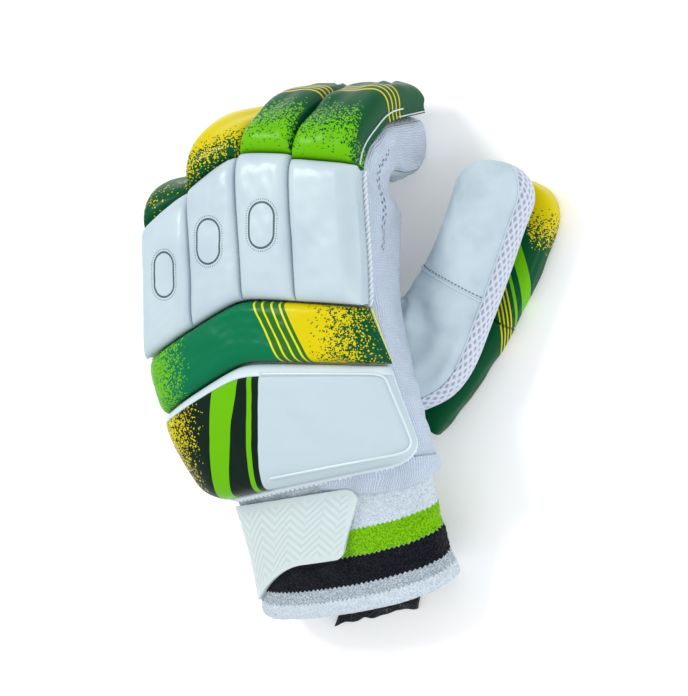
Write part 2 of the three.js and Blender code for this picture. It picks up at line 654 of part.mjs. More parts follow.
// The thumb
const THUMB_ROWS = THUMB_LOWER_ROWS + 1 + THUMB_UPPER_ROWS;
const upper = (v) => mix(THUMB_SEAM, 1, towardsTip(v));
const lower = (v) => mix(THUMB_START, THUMB_SEAM - GAP / THUMB_LENGTH, v);
function whole(v) {
  const row = Math.round(v * THUMB_ROWS);
  if (row <= THUMB_LOWER_ROWS) return lower(row / THUMB_LOWER_ROWS);
  return upper((row - THUMB_LOWER_ROWS - 1) / THUMB_UPPER_ROWS);
}
const thumbPanel = (wall, from, to, across, along, stretch) =>
  cut(panel(thumbPoint, wall, THUMB_REACH, from, to, across, along, stretch), core);
add("thumb_front_upper", "leather", thumbPanel(LEATHER, FRONT_SEAM, 180 - FRONT_SEAM, 8, THUMB_UPPER_ROWS, upper));
add("thumb_front_lower", "leather", thumbPanel(LEATHER, FRONT_SEAM, 180 - FRONT_SEAM, 8, THUMB_LOWER_ROWS, lower));
add("thumb_gusset_outer", "knit", thumbPanel(KNIT, GUSSET_SEAM, FRONT_SEAM, 4, THUMB_ROWS, whole));
add("thumb_gusset_inner", "knit", thumbPanel(KNIT, 180 - FRONT_SEAM, 180 - GUSSET_SEAM, 4, THUMB_ROWS, whole));
add("thumb_backing", "knit", thumbPanel(BACKING, GUSSET_SEAM, -180 - GUSSET_SEAM, 6, THUMB_ROWS, whole));
add("thumb_guard_lower", "green_pu", guard(0, GUARD_JOINT, false));
add("thumb_guard_upper", "yellow_pu", guard(GUARD_JOINT + 0.008, 1, true));

export default glove;
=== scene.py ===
import math
from types import SimpleNamespace

import bmesh
import bpy
import numpy as np
from mathutils import Matrix, Vector
from mathutils.kdtree import KDTree


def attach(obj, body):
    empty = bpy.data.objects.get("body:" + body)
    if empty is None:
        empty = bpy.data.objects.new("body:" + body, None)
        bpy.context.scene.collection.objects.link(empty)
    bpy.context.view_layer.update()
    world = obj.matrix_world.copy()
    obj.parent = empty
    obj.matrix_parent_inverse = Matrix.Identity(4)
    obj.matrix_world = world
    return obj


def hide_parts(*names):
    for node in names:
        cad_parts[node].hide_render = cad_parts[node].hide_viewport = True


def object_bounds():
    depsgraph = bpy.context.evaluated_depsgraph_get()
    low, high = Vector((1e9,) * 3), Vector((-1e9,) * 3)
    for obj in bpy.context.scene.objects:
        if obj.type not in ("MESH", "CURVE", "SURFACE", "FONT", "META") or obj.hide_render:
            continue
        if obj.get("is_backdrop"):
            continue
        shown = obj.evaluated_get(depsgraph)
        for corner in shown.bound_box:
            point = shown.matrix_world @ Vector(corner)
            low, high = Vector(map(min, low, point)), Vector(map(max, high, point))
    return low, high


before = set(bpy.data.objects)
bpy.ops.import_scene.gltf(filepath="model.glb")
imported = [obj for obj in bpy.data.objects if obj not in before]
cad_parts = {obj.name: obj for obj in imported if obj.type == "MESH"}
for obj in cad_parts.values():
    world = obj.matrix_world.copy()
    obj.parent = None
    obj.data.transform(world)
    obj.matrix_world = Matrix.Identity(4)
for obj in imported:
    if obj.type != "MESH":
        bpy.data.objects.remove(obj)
cad_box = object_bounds()

MM = 0.001

# Clearances and walls
GAP = 0.4
LEATHER = 1.6
KNIT = 1.5
BACKING = 1.4
TOWELLING = 4

# The cuff
CUFF_LENGTH = 46
CUFF_TUCK = 7
CUFF_WIDTH = 101
CUFF_SHIFT = -2
CUFF_DEPTH = 43
CUFF_HEIGHT = 15.5
CUFF_WAIST = 1.5
TUCK_EASE = 1.6
MOUTH_LEAN = 0.45
MOUTH_SLANT = 0.18
WRIST_SLANT = 0.17
PAD_SLANT = 0.21
RIM_Y = -6.5
PATCH_Y = 4.5

# The hand
HAND_WIDTH = 119
HAND_DEPTH = 34
HAND_HEIGHT = 70
HAND_SHIFT = -26.5
KNUCKLE_REACH = 85
ROOT_REACH = 12
ARCH_DROP = 7
KNUCKLE_Y = CUFF_LENGTH + KNUCKLE_REACH

# The fingers
PROXIMAL = 62
PHALANX = 30
FINGER_DEPTH = 28
FINGER_LEAN = -3.5
FINGER_GATHER = 3
FINGER_TIP = 12
FIRST_BEND = 24
SECOND_BEND = 18
FOLD_BEFORE = 26
FOLD_AFTER = 18

# The padding
BASE_PAD_THICK = 13.5
ROLL_THICK = 16.5
ROLL_SHORT = 0.6
BAND_LENGTH = 29
BAND_THICK = 13
WRIST_PAD_THICK = 13

# The thumb
THUMB_LENGTH = 122
THUMB_WIDTH = 36
THUMB_DEPTH = 21
GUARD_WIDTH = 43
GUARD_THICK = 15
GUARD_JOINT = 0.46

# The strap and the tab
STRAP_THICK = 2.2
HOOK_TAB_WIDTH = 44
HOOK_TAB_LENGTH = 34
HOOK_TAB_THICK = 1.8

# Seams, as angles round a section in degrees from the thumb's side
BACK_SEAM = 46
PALM_SEAM = -40


def mix(a, b, t):
    return a + (b - a) * t


def ease(share):
    """From 0 to 1 with no kink at either end."""
    t = np.clip(share, 0, 1)
    return t * t * (3 - 2 * t)


def read(table, column, at):
    """A column of a table, read at places between its entries along a smooth curve."""
    places, values = np.array(table["at"], float), np.array(table[column], float)
    last = len(places) - 1
    i = np.clip(np.searchsorted(places, at, side="left") - 1, 0, last - 1)

    def slope(k):
        before, after = np.clip(k - 1, 0, last), np.clip(k + 1, 0, last)
        return (values[after] - values[before]) / (places[after] - places[before])

    span = places[i + 1] - places[i]
    t = np.clip((at - places[i]) / span, 0, 1)
    start = values[i] * (1 + 2 * t) * (1 - t) ** 2
    end = values[i + 1] * t * t * (3 - 2 * t)
    slopes = slope(i) * t * (1 - t) ** 2 - slope(i + 1) * t * t * (1 - t)
    return start + end + span * slopes


def superellipse(a, b, boxy, angle):
    """Points of a superellipse of half sizes a and b, and the directions out of it."""
    c, s = np.cos(np.radians(angle)), np.sin(np.radians(angle))
    reach = (np.abs(c) ** boxy + np.abs(s) ** boxy) ** (-1 / boxy)
    x, z = a * reach * c, b * reach * s
    nx = np.sign(c) * np.abs(x / a) ** (boxy - 1) / a
    nz = np.sign(s) * np.abs(z / b) ** (boxy - 1) / b
    size = np.hypot(nx, nz)
    return x, z, nx / size, nz / size


def rounding(close, power, least=0.06):
    """How wide a rounded end is, from 1 where it starts to close to nearly 0 at its tip."""
    return np.maximum((1 - close**power) ** (1 / power), least)


def points_of(x, y, z):
    return np.stack(np.broadcast_arrays(x, y, z), -1).astype(float)


def at_least(points, floor):
    """Points with what lies below a height lifted to it."""
    points[..., 2] = np.maximum(points[..., 2], floor)
    return points


# Sections of the hand
HAND_SECTIONS = {
    "at": (0, 0.2, 0.45, 0.7, 1),
    "shift": (0.05, 0.33, 0.67, 0.9, 1),
    "width": (0.9, 0.965, 1.015, 1.025, 1),
    "top": (0.85, 0.92, 0.97, 0.99, 1),
    "depth": (0.96, 1.01, 1.03, 0.97, 0.88),
    "boxy": (2.5, 2.9, 3.6, 4.8, 7),
    "arch": (0.1, 0.4, 0.8, 1, 1),
}
ARCH_CENTRE = HAND_SHIFT + 0.1 * HAND_WIDTH
CHEVRON_X = HAND_SHIFT - 0.02 * HAND_WIDTH
CHEVRON_ROUND = 7


def arch(x):
    return -ARCH_DROP * ((x - ARCH_CENTRE) / (0.6 * HAND_WIDTH)) ** 2


def arch_slope(x):
    return -2 * ARCH_DROP * (x - ARCH_CENTRE) / (0.6 * HAND_WIDTH) ** 2


def chevron(x, little, index):
    d = x - CHEVRON_X
    return (little + index) / 2 * d - (little - index) / 2 * np.hypot(d, CHEVRON_ROUND)


def wrist_y(x):
    return CUFF_LENGTH + WRIST_SLANT * x


def pad_low_y(x):
    return CUFF_LENGTH + 3 * GAP + PAD_SLANT * x


def knuckle_y(x):
    return KNUCKLE_Y + chevron(x, 0.5, -0.07)


def root_y(x):
    return knuckle_y(x) + ROOT_REACH


def band_low_y(x):
    return KNUCKLE_Y - BAND_LENGTH + chevron(x, 0.52, -0.02)


def hand_point(along, angle, inset=0):
    at = np.clip(along, 0, 1)
    half_width = HAND_WIDTH * read(HAND_SECTIONS, "width", at) / 2
    half_depth = HAND_DEPTH * read(HAND_SECTIONS, "depth", at) / 2
    sx, sz, nx, nz = superellipse(half_width, half_depth, read(HAND_SECTIONS, "boxy", at), angle)
    centre = HAND_HEIGHT * read(HAND_SECTIONS, "top", at) - half_depth
    x = HAND_SHIFT * read(HAND_SECTIONS, "shift", at) + sx - inset * nx
    z = centre + sz - inset * nz + arch(x) * read(HAND_SECTIONS, "arch", at)
    return points_of(x, mix(wrist_y(x), root_y(x), along), z)


def over_hand(line, angle, lift):
    """Points over the hand at an angle, where a line across it runs."""
    along = np.full(np.broadcast(angle, lift).shape, 0.5)
    for _ in range(6):
        x = hand_point(along, angle, -lift)[..., 0]
        along = (line(x) - wrist_y(x)) / (root_y(x) - wrist_y(x))
    return hand_point(along, angle, -lift)


# Sizes as shares of the named ones, and bends in degrees
FINGER_COLUMNS = ("name", "width", "bone", "pad", "phalanx", "curl", "tip_curl", "belly", "roll")
FINGER_ROWS = [
    ("little", 0.252, 0.93, 0.94, 0.7, 80, 8, 0.5, 0.8),
    ("ring", 0.239, 1.02, 0.99, 0.9, 62, 22, 0.5, 1),
    ("middle", 0.236, 1, 1.02, 1, 55, 25, 0.5, 1),
    ("index", 0.273, 1, 0.98, 1, 53, 26, 1, 1),
]
FINGER_SECTIONS = {
    "at": (0, 0.14, 0.3, 0.48, 0.64, 0.85, 1),
    "depth": (1.02, 1.02, 1.02, 0.88, 0.9, 0.98, 0.9),
    "belly": (0, 0.26, 0.44, 0.14, 0.04, 0.06, 0),
    "boxy": (9, 5, 3.6, 3.4, 3.4, 3.2, 3),
}


def drift(y):
    beyond = y - KNUCKLE_Y
    return FINGER_LEAN * ease(beyond / PROXIMAL) + FINGER_GATHER * ease((beyond - PROXIMAL) / PHALANX)


def make_finger(row, start):
    """A finger with the path of its back, one point to a millimetre, to where its tip comes down."""
    finger = SimpleNamespace(**dict(zip(FINGER_COLUMNS, row)))
    finger.width *= HAND_WIDTH
    finger.x = start + finger.width / 2
    finger.bone *= PROXIMAL
    y, z = float(knuckle_y(finger.x)), HAND_HEIGHT + float(arch(finger.x))
    finger.path_y, finger.path_z = [y], [z]
    underside = FINGER_DEPTH * math.cos(math.radians(finger.curl + finger.tip_curl))
    while z > underside:
        s = len(finger.path_y) - 0.5
        first = ease((s - finger.bone + FIRST_BEND * 0.35) / FIRST_BEND)
        second = ease((s - finger.bone - finger.phalanx * PHALANX + SECOND_BEND / 2) / SECOND_BEND)
        turn = math.radians(finger.curl * first + finger.tip_curl * second)
        y, z = y + math.cos(turn), z - math.sin(turn)
        finger.path_y.append(y)
        finger.path_z.append(z)
    finger.length = len(finger.path_y) - 1
    finger.tilt = float(arch_slope(finger.x))
    return finger


FINGERS = []
for finger_row in FINGER_ROWS:
    used = sum(f.width for f in FINGERS)
    FINGERS.append(make_finger(finger_row, HAND_SHIFT - HAND_WIDTH / 2 + used))
LITTLE, RING, MIDDLE, INDEX = FINGERS


def finger_point(finger, s, x, h):
    """Points near a finger: s along its back from the knuckle line, x across it and h out from its back."""
    i = np.clip(np.floor(s).astype(int), 0, finger.length - 1)
    y, z = np.array(finger.path_y), np.array(finger.path_z)
    fold = (s - finger.bone + FOLD_BEFORE) / (FOLD_BEFORE + finger.phalanx * PHALANX + FOLD_AFTER)
    fold = np.clip(fold, 0, 1)
    turn = np.radians((finger.curl + finger.tip_curl) * mix(fold, ease(fold), 0.6))
    rise = h + x * finger.tilt * (1 - ease((s - PROXIMAL) / PHALANX))
    py = mix(y[i], y[i + 1], s - i) + rise * np.sin(turn)
    pz = mix(z[i], z[i + 1], s - i) + rise * np.cos(turn)
    return points_of(finger.x + x + drift(py), py, pz)


def slant_at(finger, x):
    return knuckle_y(finger.x + x) - knuckle_y(finger.x)


def stall_point(finger, along, angle, inset=0, start=ROOT_REACH + GAP):
    end = finger.length - inset
    s = mix(start, end, along)
    close = np.clip((s - end + FINGER_TIP) / FINGER_TIP, 0, 1)
    size = rounding(close, 2.6)
    fullness = read(FINGER_SECTIONS, "depth", along) + finger.belly * read(FINGER_SECTIONS, "belly", along)
    depth = FINGER_DEPTH * fullness
    half_width = (finger.width - GAP) / 2 - inset
    boxy = read(FINGER_SECTIONS, "boxy", along)
    sx, sz, _, _ = superellipse(half_width * size, (depth / 2 - inset) * size, boxy, angle)
    slant = slant_at(finger, sx) * (1 - ease(along * 1.6))
    return at_least(finger_point(finger, s + slant, sx, sz - depth / 2), inset)


def towards_tip(v):
    return 1 - (1 - v) ** 1.7


def rim_point(angle, inset):
    sx, sz, _, _ = superellipse(CUFF_WIDTH / 2 - inset, CUFF_DEPTH / 2 - inset, 2.2, angle)
    return points_of(sx + CUFF_SHIFT, RIM_Y + MOUTH_SLANT * sx - MOUTH_LEAN * sz, CUFF_HEIGHT + sz)


def cuff_point(along, angle, inset):
    puff = inset + CUFF_WAIST * np.sin(np.pi * np.clip(along, 0, 1))
    wrist = hand_point(np.zeros_like(puff), angle, puff + LEATHER + TUCK_EASE)
    return at_least(mix(rim_point(angle, puff), wrist, np.asarray(along)[..., None]), np.maximum(inset, 0))


THUMB_ROOT = (HAND_SHIFT + 0.458 * HAND_WIDTH, CUFF_LENGTH + 0.67 * KNUCKLE_REACH, 0.471 * HAND_HEIGHT)
THUMB_STATIONS = {
    "at": (0, 0.16, 0.36, 0.56, 0.74, 0.88, 1),
    "x": (0, 0.12, 0.205, 0.29, 0.343, 0.381, 0.415),
    "y": (0, 0.06, 0.21, 0.385, 0.52, 0.622, 0.73),
    "lift": (0, -0.22, -0.3, -0.3, -0.3, -0.3, -0.3),
    "heading": (82, 60, 32, 23, 19, 17, 16),
    "across": (1.5, 1.42, 1.17, 1.06, 1.04, 1.06, 0.98),
    "deep": (0.8, 0.88, 1, 1.02, 1.02, 1.02, 0.98),
}
THUMB_BOXY = 2.7
THUMB_TIP = 0.14
THUMB_START = 0.04
THUMB_SEAM = 0.43
FRONT_SEAM = 24
MESH_SEAM = 41
GUSSET_SEAM = -38


def thumb_point(along, angle, inset=0):
    at = np.minimum(along, 1 - inset / THUMB_LENGTH)
    heading = np.radians(read(THUMB_STATIONS, "heading", at))
    close = np.clip((along - 1 + THUMB_TIP) / THUMB_TIP, 0, 1)
    size = rounding(close, 2.4)
    half_width = THUMB_WIDTH * read(THUMB_STATIONS, "across", at) / 2 - inset
    half_depth = THUMB_DEPTH * read(THUMB_STATIONS, "deep", at) / 2 - inset
    sx, sz, _, _ = superellipse(half_width * size, half_depth * size, THUMB_BOXY, angle)
    return points_of(
        THUMB_ROOT[0] + THUMB_LENGTH * read(THUMB_STATIONS, "x", at) + sx * np.cos(heading),
        THUMB_ROOT[1] + THUMB_LENGTH * read(THUMB_STATIONS, "y", at) - sx * np.sin(heading),
        THUMB_ROOT[2] + THUMB_DEPTH * read(THUMB_STATIONS, "lift", at) + sz,
    )


GUARD_START = np.array([HAND_SHIFT + 0.391 * HAND_WIDTH, CUFF_LENGTH + 0.424 * KNUCKLE_REACH])
GUARD_BEND = GUARD_START + np.array([0.369, 0.393]) * THUMB_LENGTH
GUARD_END = GUARD_START + np.array([0.492, 0.844]) * THUMB_LENGTH


def guard_line(at):
    """Places along the middle of the thumb's guard, and the directions that it runs in."""
    at = np.asarray(at, float)[..., None]
    place = GUARD_START * (1 - at) ** 2 + GUARD_BEND * 2 * at * (1 - at) + GUARD_END * at**2
    ahead = (GUARD_BEND - GUARD_START) * (1 - at) + (GUARD_END - GUARD_BEND) * at
    return place, ahead / np.linalg.norm(ahead, axis=-1, keepdims=True)


# Meshes

SHARP_ANGLE = math.radians(48)
# Faces across and along the grid of each kind of piece
GRIDS = {
    "finger_pad": (64, 96),
    "finger_roll": (54, 100),
    "knuckle_band": (150, 60),
    "wrist_pad": (132, 76),
    "hand_backing": (40, 40),
    "palm": (96, 80),
    "finger_front": (40, 76),
    "finger_backing": (28, 80),
    "fourchette": (24, 70),
    "thumb_upper": (72, 84),
    "thumb_lower": (72, 48),
    "thumb_mesh": (48, 240),
    "thumb_backing": (40, 90),
    "guard": (72, 90),
    "cuff": (270, 90),
    "knit_end": (90, 30),
    "strap": (216, 64),
    "hook_tab": (60, 48),
}
# Folds of each kind of piece, as layers: depth and size in millimetres, seed of the draw, and squash along it
FOLDS = {
    "finger_pad": ((0.35, 26, 10, 1), (0.12, 8, 30, 1)),
    "finger_roll": ((0.6, 18, 50, 1),),
    "gather": ((2.5, 20, 70, 1),),
    "over_pad": ((0.4, 22, 5, 1), (0.15, 7, 6, 1)),
    "palm": ((0.7, 34, 3, 1), (0.3, 13, 4, 1)),
    "index_side": ((0.8, 24, 8, 0.7), (0.35, 10, 9, 1)),
    "little_side": ((0.8, 24, 18, 0.7), (0.35, 10, 19, 1)),
    "finger_front": ((0.5, 15, 40, 1), (0.2, 6, 44, 1)),
    "thumb_upper": ((0.4, 26, 60, 1), (0.16, 9, 64, 1)),
    "thumb_lower": ((1.1, 26, 61, 1), (0.44, 9, 65, 1)),
    "guard": ((0.25, 16, 90, 1),),
    "knit_end": ((0.4, 13, 77, 1),),
}


def grid(across, along, wrapped=False):
    """Shares from 0 to 1 across and along a grid. A wrapped grid's last column would be its first again."""
    around = np.linspace(0, 1, across + 1)
    return np.meshgrid(around[:-1] if wrapped else around, np.linspace(0, 1, along + 1))


def quads(rows, columns, wrapped=False):
    """Faces over a grid of points that are numbered row by row."""
    i = np.arange(columns if wrapped else columns - 1)
    low = np.arange(rows - 1)[:, None] * columns
    a, b = low + i, low + (i + 1) % columns
    return np.stack([a, b, b + columns, a + columns], -1).reshape(-1, 4)


def strip(line, step):
    """Faces between a line of points and the same line further on in the numbering."""
    line = np.asarray(line)
    a, b = line[:-1], line[1:]
    return np.stack([b, a, a + step, b + step], -1)


def shell(outer, inner, wrapped=False):
    """The points and faces of a closed wall between two grids of points."""
    rows, columns = outer.shape[:2]
    layer = rows * columns
    number = np.arange(layer).reshape(rows, columns)
    over = quads(rows, columns, wrapped)
    first, last = number[0], number[-1]
    if wrapped:
        first, last = np.append(first, first[0]), np.append(last, last[0])
    faces = [over, over[:, ::-1] + layer, strip(first, layer), strip(last[::-1], layer)]
    if not wrapped:
        faces += [strip(number[::-1, 0], layer), strip(number[:, -1], layer)]
    return np.concatenate([outer.reshape(-1, 3), inner.reshape(-1, 3)]), np.concatenate(faces)


def out_of(outer, inner):
    """The directions out of a wall at the points of its outer grid."""
    across, along = np.gradient(outer, axis=1), np.gradient(outer, axis=0)
    out = np.cross(across, along)
    out /= np.maximum(np.linalg.norm(out, axis=-1, keepdims=True), 1e-9)
    return out * np.sign(np.sum(out * (outer - inner)))


def arcs(points):
    """How far each point of a grid lies across and along it, in millimetres over its surface."""
    across = np.pad(steps(points, 1).cumsum(1), ((0, 0), (1, 0)))
    along = np.pad(steps(points, 0).cumsum(0), ((1, 0), (0, 0)))
    return points_of(across - across[:, -1:] / 2, along.mean(1, keepdims=True), 0)


def waves(points, size, seed, count=14):
    """Smooth waves over points, mostly between -1 and 1 and about a size across."""
    draw = np.random.default_rng(seed)
    total = np.zeros(points.shape[:-1])
    for _ in range(count):
        way = draw.normal(size=3)
        way *= 2 * np.pi / size * draw.uniform(0.6, 1.6) / np.linalg.norm(way)
        total += np.sin(points @ way + draw.uniform(0, 2 * np.pi))
    return total / math.sqrt(count)


def folds(points, kind, draw=0):
    """How far a kind of piece is folded in and out at points. A draw sets pieces of one kind apart."""
    total = 0
    for depth, size, seed, squash in FOLDS[kind]:
        total = total + depth * waves(points * [1, squash, 1], size, seed + draw)
    return total


def link(name, data):
    """Adds an object to the scene."""
    thing = bpy.data.objects.new(name, data)
    bpy.context.scene.collection.objects.link(thing)
    return thing


def new_mesh(name, points, faces):
    """A mesh in metres from points in millimetres."""
    mesh = bpy.data.meshes.new(name)
    mesh.from_pydata(((points - [0, PATCH_Y, 0]) * MM).tolist(), [], faces)
    return mesh


def write_marks(mesh, marks):
    """Stores values at a mesh's points, which its look reads."""
    for key, values in marks.items():
        values = np.asarray(values, np.float32)
        kind, field = ("FLOAT_VECTOR", "vector") if values.ndim > 1 else ("FLOAT", "value")
        attribute = mesh.attributes.new(key, kind, "POINT")
        attribute.data.foreach_set(field, values.ravel())


def new_piece(name, mesh, look, slot, nodes):
    """Sets a mesh down as a piece of the glove, in place of the nodes that it covers."""
    mesh.materials.append(look)
    piece = link(name, mesh)
    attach(piece, "root")
    if nodes:
        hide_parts(*nodes)
    return piece


def put(name, points, faces, look, slot, nodes, marks=None):
    """Makes a piece from four-cornered faces, with its edges sharp where it turns most."""
    corners = points[faces]
    volume = np.sum(corners[:, 0] * np.cross(corners[:, 1], corners[:, 2]))
    volume += np.sum(corners[:, 0] * np.cross(corners[:, 2], corners[:, -1]))
    if volume < 0:
        faces = faces[:, ::-1]
    mesh = new_mesh(name, points, faces.tolist())
    mesh.validate()
    write_marks(mesh, {"place": points, **(marks or {})})
    mesh.shade_smooth()
    mesh.set_sharp_from_angle(angle=SHARP_ANGLE)
    return new_piece(name, mesh, look, slot, nodes)


def put_faces(name, points, faces, look, slot, nodes=(), marks=None):
    """Makes a piece from faces that don't all have the same number of corners."""
    mesh = new_mesh(name, points, faces)
    form = bmesh.new()
    form.from_mesh(mesh)
    bmesh.ops.recalc_face_normals(form, faces=form.faces)
    form.to_mesh(mesh)
    form.free()
    write_marks(mesh, {"place": points, **(marks or {})})
    mesh.shade_smooth()
    return new_piece(name, mesh, look, slot, nodes)


def steps(points, axis):
    """The distances between neighbouring points of a grid, across it (1) or along it (0)."""
    return np.linalg.norm(np.diff(points, axis=axis), axis=-1)


def cloth(outer):
    """Works out the flat width and length of a piece's outer face, and does nothing with them."""
    width, length = steps(outer, 1).sum(1).mean() * MM, steps(outer, 0).sum(0).mean() * MM


MARKS = ("place", "weave", "hole")


def carve(piece, cutter_points, cutter_faces):
    """Cuts a closed form out of a piece and keeps the largest part of what is left."""
    cutter = link("cutter", new_mesh("cutter", cutter_points, cutter_faces))
    old = piece.data
    tree = KDTree(len(old.vertices))
    for vertex in old.vertices:
        tree.insert(vertex.co, vertex.index)
    tree.balance()
    kept = [attribute for attribute in old.attributes if attribute.name in MARKS]
    modifier = piece.modifiers.new("cut", "BOOLEAN")
    modifier.operation = "DIFFERENCE"
    modifier.solver = "EXACT"
    modifier.object = cutter
    bpy.context.view_layer.update()
    made = piece.evaluated_get(bpy.context.evaluated_depsgraph_get())
    form = bmesh.new()
    form.from_mesh(made.to_mesh())
    made.to_mesh_clear()
    keep_largest(form)
    new = bpy.data.meshes.new(piece.name)
    form.to_mesh(new)
    form.free()
    nearest = [tree.find(vertex.co)[1] for vertex in new.vertices]
    for attribute in kept:
        name, kind = attribute.name, attribute.data_type
        key, size = ("vector", 3) if kind == "FLOAT_VECTOR" else ("value", 1)
        values = np.zeros(len(old.vertices) * size, np.float32)
        attribute.data.foreach_get(key, values)
        target = new.attributes.get(name) or new.attributes.new(name, kind, "POINT")
        target.data.foreach_set(key, values.reshape(-1, size)[nearest].ravel())
    new.materials.clear()
    new.materials.append(old.materials[0])
    new.polygons.foreach_set("material_index", np.zeros(len(new.polygons), np.int32))
    new.shade_smooth()
    new.set_sharp_from_angle(angle=SHARP_ANGLE)
    piece.modifiers.clear()
    piece.data = new
    bpy.data.objects.remove(cutter)


def keep_largest(form):
    """Deletes every island of a bmesh but the one with most points."""
    form.verts.ensure_lookup_table()
    seen, islands = set(), []
    for start in form.verts:
        if start.index in seen:
            continue
        island, edge = [], [start]
        seen.add(start.index)
        while edge:
            vertex = edge.pop()
            island.append(vertex)
            for link in vertex.link_edges:
                other = link.other_vert(vertex)
                if other.index not in seen:
                    seen.add(other.index)
                    edge.append(other)
        islands.append(island)
    islands.sort(key=len)
    loose = [vertex for island in islands[:-1] for vertex in island]
    bmesh.ops.delete(form, geom=loose, context="VERTS")


def capped(rows, sides):
    """Faces round a closed tube of points, with a fan to one more point at each end."""
    high, first = rows * sides, (rows + 1) * sides
    turns = [(i, (i + 1) % sides) for i in range(sides)]
    caps = [[first, j, i] for i, j in turns] + [[first + 1, high + i, high + j] for i, j in turns]
    return quads(rows + 1, sides, True).tolist() + caps


def body(ring, around, along):
    """The points and faces of a closed form round a line of rings."""
    points = ring(*grid(around, along, True)).reshape(-1, 3)
    faces = quads(along + 1, around, True).tolist()
    faces.append(list(range(around))[::-1])
    faces.append(list(range(along * around, (along + 1) * around)))
    return points, faces


# Looks


def srgb(red, green, blue):
    """A colour as the photograph shows it, as the linear one that a shader takes."""
    levels = np.array([red, green, blue]) / 255
    linear = np.where(levels <= 0.04045, levels / 12.92, ((levels + 0.055) / 1.055) ** 2.4)
    return (*linear.tolist(), 1.0)


class Look:
    """A material being built. Its methods add nodes and give back their outputs."""

    def __init__(self, name, roughness, coat=0.0, coat_roughness=0.1, sheen=0.0, specular=0.5, soft=0.0):
        self.material = bpy.data.materials.new(name)
        self.material.use_nodes = True
        self.tree = self.material.node_tree
        self.shader = self.tree.nodes["Principled BSDF"]
        self.normal = None
        self.set("Roughness", roughness)
        self.set("Coat Weight", coat)
        self.set("Coat Roughness", coat_roughness)
        self.set("Sheen Weight", sheen)
        self.set("Specular IOR Level", specular)
        if soft:
            self.set("Subsurface Weight", soft)
            self.set("Subsurface Radius", (0.004, 0.004, 0.004))
            self.set("Subsurface Scale", 1.0)

    def feed(self, socket, value):
        if isinstance(value, bpy.types.NodeSocket):
            self.tree.links.new(value, socket)
        else:
            socket.default_value = value

    def set(self, key, value):
        self.feed(self.shader.inputs[key], value)

    def node(self, kind, inputs, output=0, **settings):
        node = self.tree.nodes.new(kind)
        for key, value in settings.items():
            setattr(node, key, value)
        for key, value in inputs.items():
            self.feed(node.inputs[key], value)
        return node.outputs[output]

    def math(self, operation, *values):
        return self.node("ShaderNodeMath", dict(enumerate(values)), operation=operation)

    def add(self, a, b):
        return self.math("ADD", a, b)

    def times(self, a, b):
        return self.math("MULTIPLY", a, b)

    def mark(self, name):
        return self.node("ShaderNodeAttribute", {}, 1, attribute_name=name)

    def level(self, name):
        return self.node("ShaderNodeAttribute", {}, 2, attribute_name=name)

    def axes(self, vector):
        split = self.tree.nodes.new("ShaderNodeSeparateXYZ")
        self.feed(split.inputs[0], vector)
        return split.outputs

    def rise(self, value, low, high):
        """From 0 at low to 1 at high, with soft ends. Low may be above high."""
        inputs = {"Value": value, "From Min": low, "From Max": high}
        return self.node("ShaderNodeMapRange", inputs, interpolation_type="SMOOTHSTEP")

    def within(self, value, low, high, soft=0.12):
        """1 between two values, and 0 outside them."""
        above = self.rise(value, low - soft, low + soft)
        return self.times(above, self.rise(value, high + soft, high - soft))

    def blend(self, a, b, share):
        return self.node("ShaderNodeMix", {0: share, 6: a, 7: b}, 2, data_type="RGBA")

    def noise(self, vector, size, detail=2.0):
        inputs = {"Vector": vector, "Scale": 1 / size, "Detail": detail}
        return self.node("ShaderNodeTexNoise", inputs)

    def cells(self, vector, size, output="Color", distance="EUCLIDEAN", feature="F1"):
        inputs = {"Vector": vector, "Scale": 1 / size}
        return self.node("ShaderNodeTexVoronoi", inputs, output, feature=feature, distance=distance)

    def flecks(self, a, b, place, density):
        """Colour a broken up by random angular flecks of b, which cover a share of the surface."""
        random = self.axes(self.cells(place, FLECK, distance="MANHATTAN"))[0]
        return self.blend(a, b, self.math("LESS_THAN", random, density))

    def bump(self, field, height, strength=1.0):
        """Raises the surface by a height in millimetres where a field is 1."""
        inputs = {"Height": self.times(field, height), "Distance": MM, "Strength": strength}
        if self.normal is not None:
            inputs["Normal"] = self.normal
        self.normal = self.node("ShaderNodeBump", inputs)

    def done(self, colour):
        self.set("Base Color", colour)
        if self.normal is not None:
            self.set("Normal", self.normal)
        return self.material


WHITE_PU = srgb(186, 202, 209)
WHITE_LEATHER = srgb(184, 200, 209)
GREEN = srgb(0, 76, 42)
MID_GREEN = srgb(0, 110, 70)
DARK = srgb(8, 30, 20)
YELLOW = srgb(210, 193, 0)
LIME = srgb(102, 180, 0)
INK = srgb(60, 88, 94)
EDGE_WHITE = srgb(204, 217, 224)
FLECK = 0.62


def grain(look, place, depth=0.05, crease=0.25):
    """Leather's fine pebbles, and faint creases over them."""
    pebbles = look.cells(place, 0.9, "Distance", feature="SMOOTH_F1")
    look.bump(pebbles, depth)
    creases = look.noise(place, 9.0, 4.0)
    look.bump(creases, crease, 0.6)


def white_pu_look():
    look = Look("white_pu", 0.4, coat=0.2, coat_roughness=0.16, specular=0.3)
    place = look.mark("place")
    outline = look.level("outline")
    line = look.within(outline, -0.42, 0.42, 0.14)
    look.bump(line, -0.35)
    grain(look, place, 0.035, 0.3)
    tint = look.blend(WHITE_PU, srgb(178, 194, 204), look.rise(look.noise(place, 24.0), 0.35, 0.7))
    return look.done(look.blend(tint, INK, line))


def plain_pu_look(name, colour):
    look = Look(name, 0.34, coat=0.35, coat_roughness=0.15)
    grain(look, look.mark("place"), 0.03, 0.2)
    return look.done(colour)


